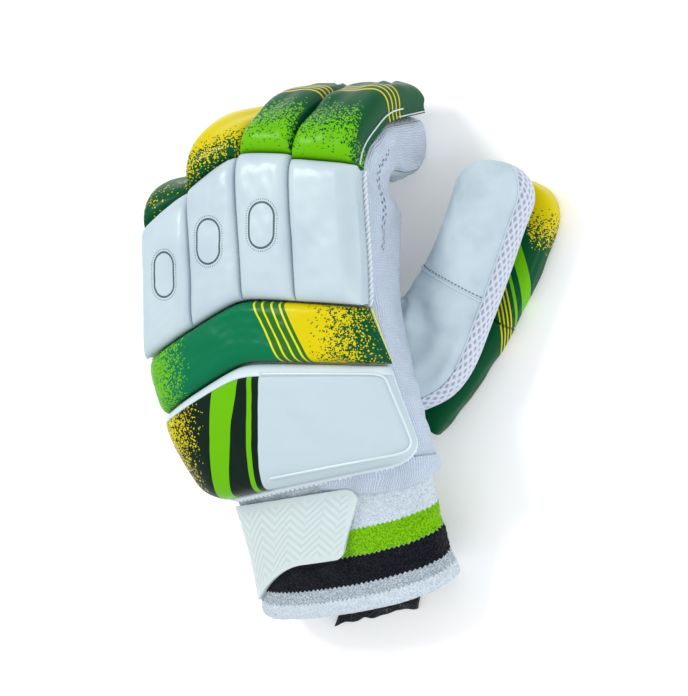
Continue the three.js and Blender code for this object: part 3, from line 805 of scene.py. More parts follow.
def leather_look():
    look = Look("soft_leather", 0.55, specular=0.3)
    place = look.mark("place")
    grain(look, place, 0.05, 0.5)
    folds = look.noise(place, 3.2, 3.0)
    look.bump(folds, 0.16, 0.7)
    shade = look.blend(WHITE_LEATHER, srgb(170, 187, 197), look.rise(look.noise(place, 17.0, 3.0), 0.4, 0.75))
    return look.done(shade)


RIB_WIDTH = 1.15
COURSE_HEIGHT = 1.3


def knit_look():
    """Ribs of V stitches that run along the piece, with two columns of eyelets. Shade is painted into the
    grooves between ribs and loops, and into the eyelets.
    """
    look = Look("rib_knit", 0.9, sheen=0.25, specular=0.2)
    place = look.mark("weave")
    x, y, eyelet = look.axes(place)
    pull = look.noise(place, 12.0)
    x = look.add(x, look.times(pull, 5.0))
    y = look.add(y, look.times(pull, 4.0))
    column = look.math("FRACT", look.times(x, 1 / RIB_WIDTH))
    side = look.math("ABSOLUTE", look.add(column, -0.5))
    course = look.add(look.times(y, 1 / COURSE_HEIGHT), look.times(side, 0.9))
    loop = look.math("COSINE", look.times(course, 2 * math.pi))
    rib = look.rise(side, 0.5, 0.12)
    height = look.times(rib, look.add(look.times(loop, 0.32), 0.68))
    look.bump(height, 0.36, 0.9)
    hole = look.rise(eyelet, 0.55, 0.1)
    fibre = look.noise(place, 0.5, 3.0)
    # Painted shade: the colour is darker where the ribs and loops sit low, as shade in the knit's grooves,
    # with the fibres' random tone over it.
    light = look.add(look.times(height, 0.75), look.times(fibre, 0.3))
    shade = look.blend(srgb(172, 186, 208), srgb(212, 224, 238), light)
    # The eyelets are only painted: a dark blue-grey that stands for the shade inside each hole.
    return look.done(look.blend(shade, srgb(96, 104, 132), hole))


def mesh_look():
    """Spacer mesh with diamond openings, painted darker inside them as shade."""
    look = Look("air_mesh", 0.7, sheen=0.2, specular=0.3)
    depth = look.level("hole")
    thread = look.noise(look.mark("weave"), 0.35, 2.0)
    look.bump(thread, 0.12, 0.6)
    cord = look.blend(srgb(212, 219, 232), srgb(196, 204, 220), thread)
    # Painted shade: the colour darkens towards the bottom of each opening.
    return look.done(look.blend(cord, srgb(160, 170, 186), look.rise(depth, 0.2, 0.9)))


WEAVE_STEP = 0.9


def weave_look():
    look = Look("backing_weave", 0.92, sheen=0.2, specular=0.2)
    x, y, _ = look.axes(look.mark("place"))
    threads = [look.math("SINE", look.times(way, 2 * math.pi / WEAVE_STEP)) for way in (x, y)]
    check = look.times(*threads)
    look.bump(check, 0.12, 0.8)
    return look.done(look.blend(srgb(206, 214, 228), srgb(186, 196, 214), look.rise(check, -0.6, 0.8)))


# Where the cuff's bands end, in millimetres from its rim
CUFF_BANDS = {"hem": 7.5, "grey": 13.8, "black": 27.5, "lime": 40.5}
ZIGZAG = 2.4


def towelling_look():
    """Looped towelling in knitted bands with zigzag edges. Shade is painted into the low parts of its pile.
    """
    look = Look("towelling", 0.95, sheen=0.06, specular=0.1)
    around, along, _ = look.axes(look.mark("weave"))
    place = look.mark("place")
    tooth = look.math("PINGPONG", around, ZIGZAG / 2)
    edge = look.add(along, look.times(tooth, 0.85))
    fluff = look.noise(place, 0.7, 4.0)
    loops = look.cells(place, 0.85, "Distance")
    look.bump(loops, 0.45)
    look.bump(fluff, 0.3, 0.7)
    # Painted shade: the colours follow the pile's bumps and are darker where the loops and fluff sit low,
    # along with the yarn's own uneven tone.
    shade = look.blend(srgb(184, 196, 207), srgb(207, 219, 228), look.rise(look.add(loops, fluff), 0.5, 1.25))
    grey = look.blend(srgb(138, 150, 160), srgb(192, 203, 211), look.rise(fluff, 0.38, 0.62))
    black = look.blend(srgb(8, 9, 14), srgb(38, 42, 52), look.rise(fluff, 0.4, 0.75))
    lime = look.blend(srgb(74, 146, 0), srgb(128, 192, 12), look.rise(look.add(loops, fluff), 0.6, 1.2))
    bands = ((grey, "hem", "grey", 0.12), (black, "grey", "black", 0.12), (lime, "black", "lime", 0.3))
    for ink, low, high, soft in bands:
        shade = look.blend(shade, ink, look.within(edge, CUFF_BANDS[low], CUFF_BANDS[high], soft))
    return look.done(shade)


def strap_look():
    look = Look("moulded_rubber", 0.4, specular=0.35, soft=0.35)
    ridge = look.level("ridge")
    look.bump(look.noise(look.mark("place"), 0.6, 2.0), 0.05)
    # Painted light: the raised ridges and border are painted lighter than the grooves between them.
    return look.done(look.blend(srgb(196, 209, 209), srgb(208, 220, 220), ridge))


def hook_look():
    look = Look("hook_tape", 0.55, specular=0.5)
    place = look.mark("place")
    hooks = look.cells(place, 0.9, "Distance")
    look.bump(hooks, 1.0)
    lint = look.rise(look.noise(place, 3.0, 5.0), 0.6, 0.72)
    return look.done(look.blend(srgb(22, 25, 30), srgb(96, 104, 110), lint))


def thread_look(name, colour):
    look = Look(name, 0.7, sheen=0.2)
    look.bump(look.noise(look.mark("place"), 0.3, 2.0), 0.15)
    return look.done(colour)


LINE_WIDTH = 0.85


def lines(look, colour, across, starts, ink, width=LINE_WIDTH):
    """Thin printed lines where a field crosses each start."""
    for start in starts:
        colour = look.blend(colour, ink, look.within(across, start, start + width))
    return colour


def printed(name):
    """A glossy coated cover to be printed on, and its place across, along and out."""
    look = Look(name, 0.34, coat=0.05, coat_roughness=0.1, specular=0.09)
    place = look.mark("place")
    grain(look, place, 0.03, 0.3)
    return look, place


ROLL_LINES = {
    "index": (31.0, 34.0, 37.0, 40.0),
    "middle": (28.5, 31.2, 33.9, 36.6),
}


def roll_look(finger):
    """The print of a finger's roll: lime or yellow that breaks up into green, with thin lines beyond it."""
    look, place = printed("roll_print_" + finger.name)
    x, s, h = look.axes(look.mark("print"))
    half = finger.width / 2
    side = look.rise(x, 0.8 * half, 1.02 * half)
    if finger.name == "little":
        density = look.times(look.within(s, 2.0, 14.0, 5.0), 0.05)
        colour = look.flecks(GREEN, YELLOW, place, density)
    elif finger.name == "ring":
        density = look.rise(s, 15.0, -4.0)
        colour = look.flecks(YELLOW, GREEN, place, density)
    else:
        density = look.add(look.rise(s, -1.0, 26.0), look.times(side, 0.7))
        colour = look.flecks(LIME, GREEN, place, density)
    colour = lines(look, colour, s, ROLL_LINES.get(finger.name, ()), YELLOW)
    return look.done(colour)


BAND_LINES = (-21.7, -17.4, -12.7, -8.4)
BAND_LINE_SLOPE = 0.522
BAND_LINE_Y = 130
BAND_YELLOW = -5.6


def band_look():
    """The knuckle roll's print: lime flecks, green, slanted lines, then yellow that breaks up into green."""
    look, place = printed("band_print")
    x, y, _ = look.axes(place)
    slanted = look.add(x, look.times(look.add(y, -BAND_LINE_Y), BAND_LINE_SLOPE))
    left = look.times(look.rise(x, -54.0, -82.0), 0.85)
    green = look.flecks(MID_GREEN, LIME, place, left)
    right = look.rise(x, 5.0, 46.0)
    yellow = look.flecks(YELLOW, GREEN, place, right)
    olive = look.blend(green, srgb(44, 104, 40), look.rise(slanted, BAND_LINES[0] - 0.3, BAND_LINES[0]))
    colour = lines(look, olive, slanted, BAND_LINES, srgb(210, 214, 30), 1.1)
    colour = look.blend(colour, yellow, look.rise(slanted, BAND_YELLOW, BAND_YELLOW + 0.2))
    return look.done(colour)


# Where the wrist pad's bands meet, at its lower and its upper edge
WRIST_LOW_Y = 45
WRIST_HIGH_Y = 91
WRIST_BANDS = [
    {"low": -52.6, "high": -45.9, "colour": DARK},
    {"low": -49.3, "high": -43.2, "colour": LIME},
    {"low": -39.5, "high": -29.6, "colour": DARK},
    {"low": -27.5, "high": -24.3, "colour": LIME},
    {"low": -24.8, "high": -21.6, "colour": DARK},
    {"low": -21.6, "high": -17.8, "colour": WHITE_PU},
]
WRIST_EDGE = 5.0


def wrist_pad_look():
    look, place = printed("wrist_pad_print")
    x, y, _ = look.axes(place)
    share = look.times(look.add(y, -WRIST_LOW_Y), 1 / (WRIST_HIGH_Y - WRIST_LOW_Y))
    density = look.rise(look.add(x, look.times(share, -3)), -86.0, -50.0)
    colour = look.flecks(srgb(206, 194, 6), DARK, place, density)
    for band in WRIST_BANDS:
        edge = look.add(look.times(share, band["high"] - band["low"]), band["low"])
        over = look.rise(look.math("SUBTRACT", x, edge), -0.1, 0.1)
        colour = look.blend(colour, band["colour"], over)
    edge = look.level("edge")
    look.bump(look.rise(edge, WRIST_EDGE + 0.5, WRIST_EDGE - 0.5), 0.7)
    return look.done(look.blend(colour, EDGE_WHITE, look.rise(edge, WRIST_EDGE + 0.1, WRIST_EDGE - 0.1)))


GUARD_SLANT = 1.0
GUARD_STRIPES = [
    {"starts": (77.0, 79.8, 82.6, 85.4), "width": 1.1, "colour": YELLOW},
    {"starts": (89.5,), "width": 2.2, "colour": LIME},
    {"starts": (96.0,), "width": 8.5, "colour": LIME},
]


def guard_look():
    """The print of the thumb's guard: green, slanted lines and stripes, then flecks and a yellow tip.
    It runs on down the guard's sides."""
    look, place = printed("guard_print")
    x, t, _ = look.axes(look.mark("print"))
    slanted = look.add(t, look.times(x, GUARD_SLANT))
    colour = GREEN
    for stripe in GUARD_STRIPES:
        colour = lines(look, colour, slanted, stripe["starts"], stripe["colour"], stripe["width"])
    density = look.times(look.rise(t, 90.0, 114.0), look.rise(slanted, 110.0, 111.0))
    colour = look.flecks(colour, YELLOW, place, density)
    return look.done(colour)


LOOKS = SimpleNamespace(
    white=white_pu_look(),
    edge=plain_pu_look("white_piping", srgb(208, 220, 227)),
    yellow_edge=plain_pu_look("yellow_piping", srgb(214, 224, 120)),
    leather=leather_look(),
    knit=knit_look(),
    mesh=mesh_look(),
    weave=weave_look(),
    towel=towelling_look(),
    strap=strap_look(),
    hook=hook_look(),
    thread=thread_look("white_thread", srgb(222, 230, 236)),
    # Painted shade: the dark blue-grey of the shade inside needle holes, used for the pads' holes and the
    # thumb's cross-seam stitches.
    dark=thread_look("needle_hole", srgb(84, 98, 108)),
    band=band_look(),
    wrist=wrist_pad_look(),
    guard=guard_look(),
)


# Trim

CORD_RADII = {
    "band_piping": 0.7,
    "index_roll_piping": 0.4,
    "wrist_pad_piping": 1.2,
    "wrist_pad_ridge": 0.6,
    "thumb_seam_ridge": 0.75,
    "thumb_mesh_edge": 0.45,
}
# Rows of stitches: each one's length, step and radius in millimetres, and its slant as a share of its length
STITCHES = {
    "side_seam_stitches": (3.2, 2.5, 0.75, 0.5),
    "index_roll_stitches": (2.4, 2.3, 0.28, 1.4),
    "index_roll_cross_stitches": (2.4, 2.9, 0.28, -1.1),
    "wrist_pad_stitches": (2.8, 2.6, 0.7, 0.5),
    "thumb_seam_stitches": (1.2, 1.9, 0.26, 0),
}


def tube(path, radius, sides, closed=False):
    """The points and faces of a round cord along a path of points."""
    path = np.asarray(path, float)
    ahead = np.roll(path, -1, 0) - np.roll(path, 1, 0)
    if not closed:
        ahead[0], ahead[-1] = path[1] - path[0], path[-1] - path[-2]
    ahead /= np.linalg.norm(ahead, axis=1, keepdims=True)
    side = np.cross(ahead, [0, 0, 1.0])
    flat = np.linalg.norm(side, axis=1, keepdims=True) < 0.05
    side = np.where(flat, np.cross(ahead, [0, 1.0, 0]), side)
    side /= np.linalg.norm(side, axis=1, keepdims=True)
    up = np.cross(side, ahead)
    turn = 2 * np.pi * np.arange(sides) / sides
    radius = np.broadcast_to(radius, len(path))[:, None, None]
    around = np.cos(turn)[None, :, None] * side[:, None] + np.sin(turn)[None, :, None] * up[:, None]
    points = (path[:, None] + radius * around).reshape(-1, 3)
    rows = len(path)
    if closed:
        high, turns = (rows - 1) * sides, [(i, (i + 1) % sides) for i in range(sides)]
        return points, quads(rows, sides, True).tolist() + [[high + i, high + j, j, i] for i, j in turns]
    return np.concatenate([points, path[[0, -1]]]), capped(rows - 1, sides)


def put_tube(name, path, look, slot, sides=8, closed=False):
    put_faces(name, *tube(path, CORD_RADII[name], sides, closed), look, slot)


def spaced(path, step):
    """Places and directions along a path, a step apart."""
    path = np.asarray(path, float)
    reach = np.append(0, np.linalg.norm(np.diff(path, axis=0), axis=1).cumsum())
    at = np.arange(step / 2, reach[-1], step)

    def along(s):
        return np.stack([np.interp(s, reach, path[:, k]) for k in range(3)], -1)

    ahead = along(at + 0.1) - along(at - 0.1)
    return along(at), ahead / np.linalg.norm(ahead, axis=1, keepdims=True)


def put_stitches(name, paths, look, slot):
    """Rows of stitches along paths, each a short rounded cord."""
    length, step, radius, slant = STITCHES[name]
    points, faces, start = [], [], 0
    for path in paths:
        for place, way in zip(*spaced(path, step)):
            way = way + slant * np.cross(way, [0, 0, 1.0])
            line = [place + way * length * share for share in (-0.5, -0.32, 0.32, 0.5)]
            one, its = tube(line, [radius * 0.5, radius, radius, radius * 0.5], 6)
            points.append(one)
            faces += [[k + start for k in face] for face in its]
            start += len(one)
    put_faces(name, np.concatenate(points), faces, look, slot)


# Padding


def spread(t):
    """Shares from -1 to 1, drawn closer together towards both ends."""
    return np.sign(t) * (1 - (1 - np.abs(t)) ** 1.9)


def crown(a, b, soft, full=0.45):
    """The rise of a stuffed pad: 1 at its middle and 0 at its edges."""
    return ((1 - np.abs(a) ** soft) * (1 - np.abs(b) ** soft)) ** full


def border(rows, columns):
    """The numbers of a grid's outer points, once round."""
    number = np.arange(rows * columns).reshape(rows, columns)
    return np.concatenate([number[0], number[1:, -1], number[-1, -2::-1], number[-2:0:-1, 0]])


WALL_ROWS = 6
WALL_TUCK = 0.02
# The height of each pad's side as a share of its thickness, then how square and how full its crown is
CROWNS = {
    "finger_pad": (0.5, 7, 0.3),
    "finger_roll": (0.4, 5, 0.36),
    "knuckle_band": (0.4, 7, 0.38),
    "wrist_pad": (0.4, 8, 0.4),
}


def pad(place, thick, kind, relief):
    """The points and faces of a kind of stuffed pad, with the shares and height of each point."""
    across, along = GRIDS[kind]
    side, soft, full = CROWNS[kind]
    a, b = np.meshgrid(spread(np.linspace(-1, 1, across + 1)), spread(np.linspace(-1, 1, along + 1)))
    height = thick * (side + (1 - side) * crown(a, b, soft, full)) + relief(a, b) * crown(a, b, 2)
    edge = border(along + 1, across + 1)
    shares = [np.stack([a, b, height], -1).reshape(-1, 3)]
    for k in range(1, WALL_ROWS):
        drop = 1 - k / WALL_ROWS
        pull = 1 - WALL_TUCK * math.sin(math.pi * k / WALL_ROWS) ** 2
        shares.append(shares[0][edge] * [pull, pull, drop])
    shares.append(shares[0] * [1, 1, 0])
    layer, ring = a.size, len(edge)
    over = quads(along + 1, across + 1)
    base = layer + (WALL_ROWS - 1) * ring
    rings = [edge] + [layer + (k - 1) * ring + np.arange(ring) for k in range(1, WALL_ROWS)] + [base + edge]
    walls = [np.stack([np.roll(a, -1), a, b, np.roll(b, -1)], -1) for a, b in zip(rings, rings[1:])]
    shares = np.concatenate(shares)
    points = place(shares[:, 0], shares[:, 1], shares[:, 2])
    return points, np.concatenate([over, over[:, ::-1] + base, *walls]), shares


def base_pad_place(finger):
    half = (finger.width - GAP) / 2
    length = finger.pad * PROXIMAL - 2 * GAP

    def place(a, b, h):
        s = GAP + length * (b + 1) / 2 + slant_at(finger, a * half)
        return finger_point(finger, s, a * half, GAP + h)

    return place, half, length


# The outlines on the pads, as the glove's X and the Y that they reach between
OBROUNDS = {
    "little": {"x": -70.5, "low": 131.6, "high": 152.4, "width": 12.3},
    "ring": {"x": -43.8, "low": 146.4, "high": 166.9, "width": 13.0},
    "middle": {"x": -14.6, "low": 153.0, "high": 173.7, "width": 13.2},
}


def obround(mark):
    """An obround's radius, the Y of its middle and half the length of its straight sides."""
    radius = mark["width"] / 2
    return radius, (mark["low"] + mark["high"]) / 2, (mark["high"] - mark["low"]) / 2 - radius


def obround_distance(points, mark):
    """How far points lie outside an obround, in millimetres."""
    radius, middle, straight = obround(mark)
    y = np.maximum(np.abs(points[:, 1] - middle) - straight, 0)
    return np.hypot(points[:, 0] - mark["x"], y) - radius


def obround_path(mark, grow, step):
    """Places round an obround that is grown by a margin."""
    radius, middle, straight = obround(mark)
    turns = np.linspace(0, np.pi, 40)
    across, up = (radius + grow) * np.cos(turns), straight + (radius + grow) * np.sin(turns)
    top = points_of(mark["x"] + across, middle + up, 0)
    low = points_of(mark["x"] - across, middle - up, 0)
    return spaced(np.concatenate([top, low, top[:1]]), step)[0][:, :2]


INDEX_BEVEL = 12.0
# An outline's distance where there is none near
FAR = 99.0


def make_base_pads():
    """The white pads over the first bones of the fingers, with their printed outlines."""
    for seed, finger in enumerate(FINGERS):
        place, half, length = base_pad_place(finger)

        def relief(a, b):
            flat = points_of(a * half, b * length / 2, 0)
            bevel = INDEX_BEVEL * np.clip((a - 0.55) / 0.45, 0, 1) ** 1.6 if finger is INDEX else 0
            return folds(flat, "finger_pad", seed) - bevel

        points, faces, shares = pad(place, BASE_PAD_THICK, "finger_pad", relief)
        mark = OBROUNDS.get(finger.name)
        outline = obround_distance(points, mark) if mark else FAR
        outline = np.where(shares[:, 2] > 0.7 * BASE_PAD_THICK, outline, FAR)
        piece = put(f"finger_pad_{finger.name}", points, faces, LOOKS.white, "white_pu",
                    [f"base_pad_{finger.name}"], {"outline": outline})
        if mark:
            make_perforations(finger, mark, points[: len(points) // 2])


HOLE_RADIUS = 0.24
HOLE_RISE = 0.12
HOLE_DEPTH = 0.3
HOLE_MARGIN = 1.5
HOLE_STEP = 1.15


def make_perforations(finger, mark, surface):
    """A ring of needle holes round a pad's outline, each a small cap painted dark as the shade inside a hole.
    """
    tree = KDTree(len(surface))
    for number, p in enumerate(surface):
        tree.insert((p[0], p[1], 0), number)
    tree.balance()
    points, faces = [], []
    for x, y in obround_path(mark, HOLE_MARGIN, HOLE_STEP):
        near = surface[tree.find((x, y, 0))[1]]
        start = len(points)
        for k in range(6):
            turn = math.pi * k / 3
            around = [x + HOLE_RADIUS * math.cos(turn), y + HOLE_RADIUS * math.sin(turn)]
            points.append([*around, near[2] + HOLE_RISE])
        points.append([x, y, near[2] - HOLE_DEPTH])
        faces.append([start + k for k in range(6)])
        faces += [[start + (k + 1) % 6, start + k, start + 6] for k in range(6)]
    put_faces(f"needle_holes_{finger.name}", np.array(points), faces, LOOKS.dark, "white_pu")


def roll_place(finger):
    half = (finger.width - GAP) / 2
    start = finger.pad * PROXIMAL + GAP
    end = finger.length - ROLL_THICK * ROLL_SHORT

    def place(a, b, h):
        share = (b + 1) / 2
        slant = slant_at(finger, a * half) * (1 - ease(1.6 * share))
        return finger_point(finger, mix(start, end, share) + slant, a * half, 2 * GAP + h)

    return place, half, start, end


GATHER_DEPTH = 0.9


def make_rolls():
    """The gathered rolls over the bent fingertips."""
    for seed, finger in enumerate(FINGERS):
        place, half, start, end = roll_place(finger)

        def relief(a, b):
            flat = points_of(a * half, b * (end - start) / 2, 0)
            gathers = np.sin(a * 10 + folds(flat, "gather", seed)) * ease((b - 0.05) / 0.8)
            return folds(flat, "finger_roll", seed) + GATHER_DEPTH * gathers

        points, faces, shares = pad(place, finger.roll * ROLL_THICK, "finger_roll", relief)
        marks = points_of(shares[:, 0] * half, (shares[:, 1] + 1) / 2 * (end - start), shares[:, 2])
        piece = put(f"finger_roll_{finger.name}", points, faces, roll_look(finger), "printed_pu_roll",
                    [f"tip_roll_{finger.name}"], {"print": marks})


BAND_ANGLES = {"index": 42, "little": 140, "low_index": 34, "low_little": 141}
WRIST_PAD_ANGLES = {"index": 36, "little": 142, "low_index": 26, "low_little": 158}


def over_pad_place(angles, low, high, corner):
    """How a pad over the back of the hand lies between two lines, with its low corners cut."""
    def place(a, b, h):
        up = (b + 1) / 2
        cut = corner * np.clip(-b * 2 - 1, 0, 1) ** 2.5
        share = (a * (1 - cut) + 1) / 2
        index = mix(angles["low_index"], angles["index"], up)
        little = mix(angles["low_little"], angles["little"], up)

        def line(x):
            return mix(low(x) + GAP, high(x) - GAP, up)

        return over_hand(line, mix(index, little, share), GAP + h)

    return place


def make_over_pads():
    """The two pads across the back of the hand, and how each of them lies."""
    band = over_pad_place(BAND_ANGLES, band_low_y, knuckle_y, 0)
    wrist = over_pad_place(WRIST_PAD_ANGLES, pad_low_y, band_low_y, 0.22)

    def relief(a, b):
        flat = points_of(a * HAND_WIDTH / 2, b * BAND_LENGTH / 2, 0)
        return folds(flat, "over_pad")

    points, faces, _ = pad(band, BAND_THICK, "knuckle_band", relief)
    piece = put("knuckle_band", points, faces, LOOKS.band, "printed_pu_band", ["knuckle_roll"])
    points, faces, shares = pad(wrist, WRIST_PAD_THICK, "wrist_pad", relief)
    length = np.mean(band_low_y(points[:, 0]) - pad_low_y(points[:, 0]))
    marks = {"edge": (1 - shares[:, 1]) / 2 * length}
    piece = put("wrist_back_pad", points, faces, LOOKS.wrist, "printed_pu_wrist", ["wrist_pad"], marks)
    return band, wrist


def round_border(place, reach_a, reach_b, height):
    """A closed path round a pad, with its corners rounded, at the height that goes with each share."""
    a, b, _, _ = superellipse(reach_a, reach_b, 20, np.linspace(0, 360, 240, endpoint=False))
    return place(a, b, height(a, b))


def edge_line(place, a, low, high, height):
    """A path along a pad's side at a height, between two shares of its length."""
    b = np.linspace(low, high, 40)
    return place(np.full(40, a), b, np.full(40, height))


def make_trim(band, wrist):
    """The pipings, ridges and stitches along the pads' edges."""
    line = edge_line(band, -1.01, -0.96, 0.96, 3.4)
    put_tube("band_piping", line, LOOKS.yellow_edge, "printed_pu_band")
    index_roll, _, _, _ = roll_place(INDEX)
    line = edge_line(index_roll, 1.01, -0.98, 0.34, 4.2)
    put_tube("index_roll_piping", line, LOOKS.edge, "white_pu")
    index_pad, _, _ = base_pad_place(INDEX)
    little_pad, _, _ = base_pad_place(LITTLE)
    seams = [edge_line(index_pad, 1.05, -1, 1, 1.0), edge_line(little_pad, -1.05, -1, 1, 1.0)]
    put_stitches("side_seam_stitches", seams, LOOKS.thread, "side_knit")
    ragged = edge_line(index_roll, 1.02, 0.2, 0.98, 0.9)
    put_stitches("index_roll_stitches", [ragged], LOOKS.thread, "side_knit")
    put_stitches("index_roll_cross_stitches", [ragged], LOOKS.thread, "side_knit")
    under = round_border(wrist, 1.025, 1.05, lambda a, b: 0 * a + 0.7)
    put_stitches("wrist_pad_stitches", [under], LOOKS.thread, "white_pu")
    piping = round_border(wrist, 1.006, 1.02, lambda a, b: 0 * a + 2.6)
    put_tube("wrist_pad_piping", piping, LOOKS.edge, "white_pu", 10, True)

    def surface(a, b):
        side, soft, full = CROWNS["wrist_pad"]
        return WRIST_PAD_THICK * (side + (1 - side) * crown(a, b, soft, full)) + 0.3

    ridge = round_border(wrist, 0.93, 0.84, surface)
    ridge = ridge[ridge[:, 0] > WRIST_BANDS[-1]["high"]]
    put_tube("wrist_pad_ridge", ridge, LOOKS.edge, "white_pu")


# Walls of cloth and leather

# How far a seam keeps a wall from folding, as a share of the wall
SEAM_HOLD = 0.12


def panel(tube_point, wall, reach, start, end, size, stretch):
    """The outer and inner grids of a tube's wall between two angles."""
    trim = math.degrees(GAP / 2 / reach) * math.copysign(1, end - start)
    u, v = grid(*size)
    angle = mix(start + trim, end - trim, u)
    return tube_point(stretch(v), angle, 0), tube_point(stretch(v), angle, wall)


def ruffle(outer, inner, kind, draw=0):
    """Folds both faces of a wall in and out, less towards its seams."""
    rows, columns = outer.shape[:2]
    u, v = grid(columns - 1, rows - 1)
    near = np.minimum(np.minimum(u, 1 - u), np.minimum(v, 1 - v))
    amount = folds(arcs(outer), kind, draw) * ease(near / SEAM_HOLD)
    push = out_of(outer, inner) * amount[..., None]
    return outer + push, inner + push


def put_wall(name, outer, inner, look, slot, nodes, marks=None, wrapped=False):
    points, faces = shell(outer, inner, wrapped)
    marks = {key: np.concatenate([value, value]) for key, value in (marks or {}).items()}
    piece = put(name, points, faces, look, slot, nodes, marks)
    cloth(outer)
    return piece


HAND_REACH = HAND_WIDTH / 2
STALL_REACH = FINGER_DEPTH / 2
THUMB_REACH = THUMB_WIDTH / 2
SIDE_HAND_ROWS = 90
SIDE_STALL_ROWS = 110


def short_of_roots(v):
    return v * (1 - GAP / (KNUCKLE_REACH + ROOT_REACH))


def side_grids(finger, start, end, across):
    """The side wall of the hand and of the finger beyond it, drawn smooth where they meet."""
    trim = math.degrees(GAP / 2 / STALL_REACH) * math.copysign(1, end - start)
    grids = []
    for inset in (0, KNIT):
        u, v = grid(across, SIDE_HAND_ROWS)
        angle = mix(start + trim, end - trim, u)
        hand = hand_point(short_of_roots(v), angle, inset)
        u, v = grid(across, SIDE_STALL_ROWS)
        angle = mix(start + trim, end - trim, u)
        stall = stall_point(finger, towards_tip(v), angle, inset)
        both = np.concatenate([hand, stall])
        grids.append(smoothed(both, SIDE_HAND_ROWS, 14, 60))
    return grids


def smoothed(points, row, reach, rounds):
    """A grid with the rows near one of them evened out along it."""
    rows = np.arange(len(points))
    share = ease(1 - np.abs(rows - row) / reach)[1:-1, None, None]
    for _ in range(rounds):
        middle = (points[:-2] + points[2:]) / 2
        points[1:-1] += 0.9 * share * (middle - points[1:-1])
    return points


def weave_marks(outer, eyelets=None):
    """Where each point lies in the knit, and how far from the nearest eyelet."""
    flat = arcs(outer)
    flat[..., 2] = 9.0
    if eyelets is not None:
        u = grid(outer.shape[1] - 1, outer.shape[0] - 1)[0]
        flat[..., 2] = eyelets(u, flat[..., 1])
    return flat.reshape(-1, 3)


# The two seams that a panel of the hand or of a finger runs between, on the back and on the palm's side
BACK = (BACK_SEAM, 180 - BACK_SEAM)
FRONT = (PALM_SEAM, -180 - PALM_SEAM)


def make_hand():
    """The walls of the hand, with the thumb's root left open through two of them."""
    grids = panel(hand_point, BACKING, HAND_REACH, *BACK, GRIDS["hand_backing"], short_of_roots)
    put_wall("hand_backing", *grids, LOOKS.weave, "backing_cloth", ["backing_hand"])
    grids = panel(hand_point, LEATHER, HAND_REACH, *FRONT, GRIDS["palm"], short_of_roots)
    palm = put_wall("palm_leather", *ruffle(*grids, "palm"), LOOKS.leather, "glove_leather", ["palm"])
    carve(palm, *passage())
    sides = ((INDEX, PALM_SEAM, BACK_SEAM, 70, eyelets), (LITTLE, 180 - BACK_SEAM, 180 - PALM_SEAM, 48, None))
    for finger, start, end, across, holes in sides:
        name = finger.name
        outer, inner = ruffle(*side_grids(finger, start, end, across), f"{name}_side")
        marks = {"weave": weave_marks(outer, holes)}
        nodes = [f"side_gusset_{name}"]
        side = put_wall(f"{name}_side_knit", outer, inner, LOOKS.knit, "side_knit", nodes, marks)
        if finger is INDEX:
            carve(side, *passage())


EYELET_STEP = 3.4
EYELET_SIZE = 1.15
EYELET_COLUMNS = (0.56, 0.62)
EYELET_LOW = 100
EYELET_HIGH = 150


def eyelets(u, along):
    """How far each point of the index side lies from an eyelet, in eyelet sizes."""
    nearest = np.full(u.shape, 9.0)
    for k, column in enumerate(EYELET_COLUMNS):
        phase = (along / EYELET_STEP + k / 2) % 1 - 0.5
        distance = np.hypot((u - column) * 38, phase * EYELET_STEP) / EYELET_SIZE
        inside = (along > EYELET_LOW) & (along < EYELET_HIGH)
        nearest = np.where(inside, np.minimum(nearest, distance), nearest)
    return np.clip(nearest - 0.5, 0, 9)


def make_fingers():
    """The fronts and backs of the finger stalls, and the strips between them."""
    for seed, finger in enumerate(FINGERS):
        def stall(along, angle, inset):
            return stall_point(finger, along, angle, inset)

        grids = panel(stall, LEATHER, STALL_REACH, *FRONT, GRIDS["finger_front"], towards_tip)
        outer, inner = ruffle(*grids, "finger_front", seed)
        at_least(outer, 0)
        at_least(inner, LEATHER)
        name = finger.name
        nodes = [f"finger_front_{name}"]
        put_wall(f"front_leather_{name}", outer, inner, LOOKS.leather, "glove_leather", nodes)
        grids = panel(stall, BACKING, STALL_REACH, *BACK, GRIDS["finger_backing"], towards_tip)
        put_wall(f"stall_backing_{name}", *grids, LOOKS.weave, "backing_cloth", [f"backing_{name}"])
    for left, right in zip(FINGERS, FINGERS[1:]):
        make_fourchette(left, right)


def make_fourchette(left, right):
    """The strip down the side of one finger from its tip, round the fork and up the next."""
    trim = math.degrees(GAP / STALL_REACH)
    u, v = grid(*GRIDS["fourchette"])
    angle = mix(BACK_SEAM - trim, PALM_SEAM + trim, u)
    grids = []
    for inset in (0, KNIT):
        start = ROOT_REACH + GAP + np.where(v == 0, KNIT - inset, 0)
        down = stall_point(left, towards_tip(v), angle, inset, start)[::-1]
        up = stall_point(right, towards_tip(v), 180 - angle, inset, start)
        grids.append(np.concatenate([down, up]))
    name = f"{left.name}_{right.name}"
    marks = {"weave": weave_marks(grids[0])}
    put_wall(f"fork_knit_{name}", *grids, LOOKS.knit, "side_knit", [f"fourchette_{name}"], marks)


# The thumb


def passage():
    """What fills the thumb's root, for the panels of the hand to leave open."""
    def ring(u, v):
        return thumb_point(v * 0.4, 360 * u, -GAP) - points_of(12 * (1 - v), 0, 0)

    return body(ring, 48, 12)


def hand_core():
    """What fills the hand, for the thumb's panels to stop at."""
    return body(lambda u, v: hand_point(v * 1.05 - 0.02, 360 * u, -GAP), 90, 40)


def upper_thumb(v):
    return mix(THUMB_SEAM, 1, towards_tip(v))


def lower_thumb(v):
    return mix(THUMB_START, THUMB_SEAM - GAP / THUMB_LENGTH, v)


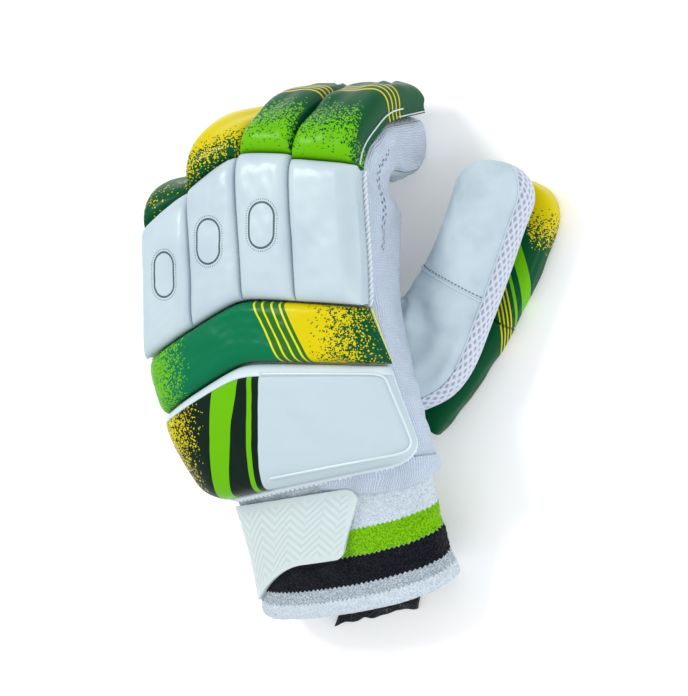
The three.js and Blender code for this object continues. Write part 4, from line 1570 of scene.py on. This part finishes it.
def whole_thumb(v):
    split = 0.36
    low = lower_thumb(np.clip(v / split, 0, 1))
    high = upper_thumb(np.clip((v - split) / (1 - split), 0, 1))
    return np.where(v < split, low, high)


MESH_CELL = (3.3, 5.6)
MESH_DEPTH = 0.6


def mesh_holes(outer):
    """How deep each point lies in a diamond opening of the mesh, from 0 on a cord to 1."""
    flat = arcs(outer)
    x, y = flat[..., 0] / MESH_CELL[0], flat[..., 1] / MESH_CELL[1]
    slants = np.abs(np.sin(np.pi * (x + y))), np.abs(np.sin(np.pi * (x - y)))
    return ease((np.minimum(*slants) - 0.42) / 0.4)


def make_thumb():
    """The walls of the thumb, cut off where they meet the hand."""
    core = hand_core()
    front = (MESH_SEAM, 180 - FRONT_SEAM)
    for name, stretch in (("upper", upper_thumb), ("lower", lower_thumb)):
        kind = f"thumb_{name}"
        grids = ruffle(*panel(thumb_point, LEATHER, THUMB_REACH, *front, GRIDS[kind], stretch), kind)
        nodes = [f"thumb_front_{name}"]
        carve(put_wall(f"thumb_leather_{name}", *grids, LOOKS.leather, "glove_leather", nodes), *core)
    for name, *seams in (("outer", GUSSET_SEAM, MESH_SEAM), ("inner", 180 - FRONT_SEAM, 180 - GUSSET_SEAM)):
        outer, inner = panel(thumb_point, KNIT, THUMB_REACH, *seams, GRIDS["thumb_mesh"], whole_thumb)
        hole = mesh_holes(outer)
        pressed = outer - out_of(outer, inner) * (MESH_DEPTH * hole)[..., None]
        marks = {"hole": hole.ravel(), "weave": arcs(outer).reshape(-1, 3)}
        nodes = [f"thumb_gusset_{name}"]
        carve(put_wall(f"thumb_mesh_{name}", pressed, inner, LOOKS.mesh, "airmesh", nodes, marks), *core)
    back = (GUSSET_SEAM, -180 - GUSSET_SEAM)
    grids = panel(thumb_point, BACKING, THUMB_REACH, *back, GRIDS["thumb_backing"], whole_thumb)
    carve(put_wall("thumb_under_cloth", *grids, LOOKS.weave, "backing_cloth", ["thumb_backing"]), *core)


def guard_point(at, turn, tip, lengthwise, relief):
    """Points on the guard's surface: where along its line, and the angle round its section."""
    line, ahead = guard_line(at)
    narrow = rounding(tip, 2.4, 0.12)
    soft = np.minimum(1, 0.88 + 0.12 * np.minimum(lengthwise, 1 - lengthwise) * 12)
    sx, sz, nx, nz = superellipse(GUARD_WIDTH / 2 * narrow, GUARD_THICK / 2 * soft, 4, turn)
    sx, sz = sx + relief * nx, sz + relief * nz
    x = line[..., 0] + sx * ahead[..., 1]
    y = line[..., 1] - sx * ahead[..., 0]
    return points_of(x, y, np.maximum(GUARD_THICK / 2 + sz, 0)), sx


def make_thumb_stitches():
    """The stitches beyond the thumb's cross seam, and the ridge of leather that they hold down."""
    angles = np.linspace(MESH_SEAM + 2, 180 - FRONT_SEAM - 2, 60)
    near = thumb_point(np.full(60, THUMB_SEAM + 1.9 / THUMB_LENGTH), angles, -0.15)
    # The stitches are painted in the needle holes' dark shade colour.
    put_stitches("thumb_seam_stitches", [near], LOOKS.dark, "glove_leather")
    ridge = thumb_point(np.full(60, THUMB_SEAM + 0.3 / THUMB_LENGTH), angles, -0.1)
    put_tube("thumb_seam_ridge", ridge, LOOKS.leather, "glove_leather")
    along = whole_thumb(np.linspace(0.16, 0.97, 220))
    side = thumb_point(along, np.full(220, MESH_SEAM + 1.0), -0.25)
    put_tube("thumb_mesh_edge", side, LOOKS.leather, "glove_leather")


# The gap between the guard's two lengths, as a share of its whole length
GUARD_GAP = 0.008


def make_guard():
    """The padded roll on the thumb's back, in two lengths."""
    reach = np.linspace(0, 1, 200)
    line = guard_line(reach)[0]
    length = np.append(0, np.linalg.norm(np.diff(line, axis=0), axis=1).cumsum())
    sides, rows = GRIDS["guard"]
    for name, start, end in (("lower", 0, GUARD_JOINT), ("upper", GUARD_JOINT + GUARD_GAP, 1)):
        u, v = grid(sides, rows, True)
        at = mix(start, end, v)
        tip = np.clip((v - 0.72) / 0.28, 0, 1) if name == "upper" else np.zeros_like(v)
        t = np.interp(at, reach, length)
        around = points_of(18 * np.cos(2 * np.pi * u), t, 6 * np.sin(2 * np.pi * u))
        rings, sx = guard_point(at, 360 * u, tip, v, folds(around, "guard") - 0.1)
        points = np.concatenate([rings.reshape(-1, 3), rings[0].mean(0)[None], rings[-1].mean(0)[None]])
        marks = points_of(sx + GUARD_THICK - rings[..., 2], t, 0).reshape(-1, 3)
        marks = {"print": np.concatenate([marks, [[0, t[0, 0], 0], [0, t[-1, 0], 0]]])}
        faces = capped(rows, sides)
        nodes = [f"thumb_guard_{name}"]
        piece = put_faces(f"guard_{name}", points, faces, LOOKS.guard, "printed_pu_guard", nodes, marks)


# The cuff

CUFF_START = -90
HEM_ROLL = 1.1
PILE_DEPTH = 0.28


def make_cuff():
    """The towelling cuff, which reaches a little way into the hand."""
    columns, rows = GRIDS["cuff"]
    u, v = grid(columns, rows, True)
    angle = CUFF_START + 360 * u
    grids = []
    for inset in (0, TOWELLING):
        tube_grid = cuff_point(v, angle, inset)
        reach = np.linspace(0, CUFF_TUCK, 8)[:, None] / (KNUCKLE_REACH + ROOT_REACH) + 0 * angle[:8]
        tuck = hand_point(reach, angle[:8], LEATHER + TUCK_EASE + inset)
        grids.append(np.concatenate([tube_grid, tuck[1:]]))
    outer, inner = grids
    flat = arcs(np.concatenate([outer, outer[:, :1]], 1))[:, :-1]
    length = np.pad(steps(outer, 0).cumsum(0), ((1, 0), (0, 0)))
    flat[..., 1] = length
    hem = CUFF_BANDS["hem"]
    roll = np.sqrt(np.clip(1 - ((length - 0.45 * hem) / (0.55 * hem)) ** 2, 0, 1))
    push = HEM_ROLL * roll + PILE_DEPTH * waves(outer, 2.4, 21, 24) + 0.45 * waves(outer, 17, 22)
    push = np.where(length < length[rows] - 1, push, 0)
    outer = at_least(outer + out_of(outer, inner) * push[..., None], 0)
    marks = {"weave": flat.reshape(-1, 3)}
    put_wall("towelling_cuff", outer, inner, LOOKS.towel, "towelling", ["cuff"], marks, True)


PATCH_DEPTHS = {"at": (-40, -25, 0, 22, 44, 62, 88), "mm": (1.5, 2.5, 4, 6.5, 8.5, 8, 3)}
PATCH_LAP = 6


def make_wrist_patch():
    """The rounded end of the side knit, which laps over the cuff below the wrist pad."""
    columns, rows = GRIDS["knit_end"]
    u, v = grid(columns, rows)
    angle = mix(PATCH_DEPTHS["at"][0], PATCH_DEPTHS["at"][-1], u)
    depth = read(PATCH_DEPTHS, "mm", angle) / 58
    grids = []
    for lift in (1.4, 0.15):
        over = lift + (LEATHER + TUCK_EASE - 0.1) * ease(1.15 * v) - 0.9 * (1 - ease(v / 0.08)) * (lift > 1)
        low = cuff_point(1 - depth * (1 - v), angle, -over)
        reach = np.linspace(0, PATCH_LAP, 9)[1:, None] / (KNUCKLE_REACH + ROOT_REACH)
        high = hand_point(reach + 0 * angle[:8], angle[:8], -1.7 if lift > 1 else 0.5)
        grids.append(smoothed(np.concatenate([low, high]), rows, 6, 12))
    outer, inner = ruffle(*grids, "knit_end")
    marks = {"weave": weave_marks(outer)}
    put_wall("side_knit_end", outer, inner, LOOKS.knit, "side_knit", [], marks)


STRAP = {"free_low": 80, "free_high": 69, "root": 206, "low": 0.42, "low_root": 0.1, "high": 0.93}
STRAP_LENGTH = 110
STRAP_WIDTH = 28
STRAP_ROUND = 5
STRAP_BORDER = 2.0
RIDGE_STEP = 2.3
RIDGE_BLOCK = 9.0


def strap_grid(lift, u, v):
    """The strap's points over the cuff, with its free corners rounded."""
    angle = mix(mix(STRAP["free_low"], STRAP["free_high"], v), STRAP["root"], u)
    low = mix(STRAP["low"], STRAP["low_root"], ease((u - 0.2) * 2))
    short = np.clip(1 - u * STRAP_LENGTH / STRAP_ROUND, 0, 1)
    cut = STRAP_ROUND / STRAP_WIDTH * (1 - np.sqrt(1 - short**2))
    v = mix(cut, 1 - cut, v)
    return cuff_point(mix(low, STRAP["high"], v), angle, -lift)


def make_strap():
    """The moulded strap, with herringbone ridges inside a plain border."""
    u, v = grid(*GRIDS["strap"])
    outer, inner = strap_grid(GAP + STRAP_THICK, u, v), strap_grid(GAP, u, v)
    flat = arcs(outer)
    x, y = flat[..., 0], flat[..., 1]
    block = np.floor(x / RIDGE_BLOCK) % 2 * 2 - 1
    wave = np.abs((x + block * y) / RIDGE_STEP % 2 - 1)
    edge = np.minimum(np.minimum(u, 1 - u) * STRAP_LENGTH, np.minimum(v, 1 - v) * STRAP_WIDTH)
    inside = ease((edge - STRAP_BORDER) / 0.8)
    ridge = ease((wave - 0.35) / 0.3) * inside
    rim = 1 - inside
    height = 0.2 * ridge + 0.22 * rim - 0.22
    outer = outer + out_of(outer, inner) * height[..., None]
    # The ridge mark paints the raised ridges and border lighter: painted light on the raised rubber.
    marks = {"ridge": np.clip(ridge + 0.6 * rim, 0, 1).ravel()}
    put_wall("moulded_strap", outer, inner, LOOKS.strap, "strap_rubber", ["closure_strap"], marks)


def make_hook_tab():
    """The tab of hook tape, which comes out of the cuff over its lower rim."""
    inner = TOWELLING + GAP
    rim = RIM_Y + MOUTH_LEAN * CUFF_HEIGHT
    drops = np.array([-0.04, 0.065, 0.28, 0.62])
    z = [inner + 1.4, inner + 0.6, 0, 0]
    u, v = grid(*GRIDS["hook_tab"])
    corners = np.linspace(0, 1, 4)
    x = (u - 0.42) * HOOK_TAB_WIDTH
    drop = np.interp(v, corners, drops) * HOOK_TAB_LENGTH
    low = points_of(x - 0.2 * drop, rim - drop + (MOUTH_SLANT + 0.07) * x, np.interp(v, corners, z))
    low = smoothed(smoothed(low, 16, 5, 8), 32, 5, 8)
    loose = ease((v - 0.6) / 0.4)
    low[..., 1] += 0.6 * waves(points_of(x, 0 * x, 0), 7, 33) * loose
    low[..., 2] += 1.4 * (waves(low, 14, 35) + 1) * loose
    at_least(low, 0)
    high = low + [0, 0, HOOK_TAB_THICK]
    high[..., 2] += 0.25 * np.abs(waves(high, 1.8, 34))
    put_wall("hook_tape_tab", high, low, LOOKS.hook, "hook_tape", ["hook_tab"])


# The scene

CAMERA_TARGET = Vector((0.006, 0.1035, 0.045))
CAMERA_DISTANCE = 1.1
CAMERA_TILT = math.radians(30)
MM_PER_PIXEL = 0.46
IMAGE_HEIGHT = 696
SENSOR = 36
FLOOR_HALF = 6.0
FLOOR_Z = -0.05 * MM


def make_camera():
    back = Vector((math.sin(CAMERA_TILT), 0, math.cos(CAMERA_TILT)))
    camera = bpy.data.cameras.new("camera")
    camera.sensor_fit = "VERTICAL"
    camera.sensor_height = SENSOR
    camera.lens = CAMERA_DISTANCE / (MM_PER_PIXEL * MM) * SENSOR / IMAGE_HEIGHT
    camera.dof.use_dof = False
    holder = link("camera", camera)
    holder.location = CAMERA_TARGET + back * CAMERA_DISTANCE
    right = Vector((0, 1, 0)).cross(back)
    holder.rotation_mode = "QUATERNION"
    holder.rotation_quaternion = Matrix((right, Vector((0, 1, 0)), back)).transposed().to_quaternion()
    bpy.context.scene.camera = holder


def make_light(name, place, size, power):
    light = bpy.data.lights.new(name, "AREA")
    light.shape = "DISK"
    light.size = size
    light.energy = power
    holder = link(name, light)
    holder.location = place
    holder.rotation_mode = "QUATERNION"
    holder.rotation_quaternion = (Vector(place) - CAMERA_TARGET).to_track_quat("Z", "Y")


def make_studio():
    world = bpy.data.worlds.new("studio")
    world.use_nodes = True
    background = world.node_tree.nodes["Background"]
    background.inputs["Color"].default_value = (0.96, 0.98, 1.0, 1)
    background.inputs["Strength"].default_value = 0.78
    bpy.context.scene.world = world
    bpy.context.scene.view_settings.view_transform = "Standard"
    bpy.context.scene.view_settings.look = "None"
    make_light("key", (-0.7, 0.75, 1.3), 0.5, 11)
    make_light("fill", (1.1, -0.3, 0.9), 0.9, 6)
    mesh = bpy.data.meshes.new("floor")
    ways = ((-1, -1), (1, -1), (1, 1), (-1, 1))
    mesh.from_pydata([(FLOOR_HALF * x, FLOOR_HALF * y, FLOOR_Z) for x, y in ways], [], [(0, 1, 2, 3)])
    look = Look("floor", 0.9, specular=0.1)
    # Painted light: the floor glows a little, which lifts the shadows cast on it.
    look.set("Emission Color", (1, 1, 1, 1))
    look.set("Emission Strength", 0.16)
    coordinates = look.node("ShaderNodeTexCoord", {}, 3)
    soft = look.noise(coordinates, 0.4)
    mesh.materials.append(look.done(look.blend((0.93, 0.93, 0.93, 1), (0.95, 0.95, 0.95, 1), soft)))
    link("floor", mesh)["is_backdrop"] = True


make_camera()
make_studio()
make_hand()
make_fingers()
make_base_pads()
make_rolls()
make_trim(*make_over_pads())
make_cuff()
make_strap()
make_hook_tab()
make_thumb()
make_thumb_stitches()
make_guard()
make_wrist_patch()

boxes = {"cad": cad_box, "visual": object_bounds()}
{key: [[float(v) for v in corner] for corner in box] for key, box in boxes.items()}
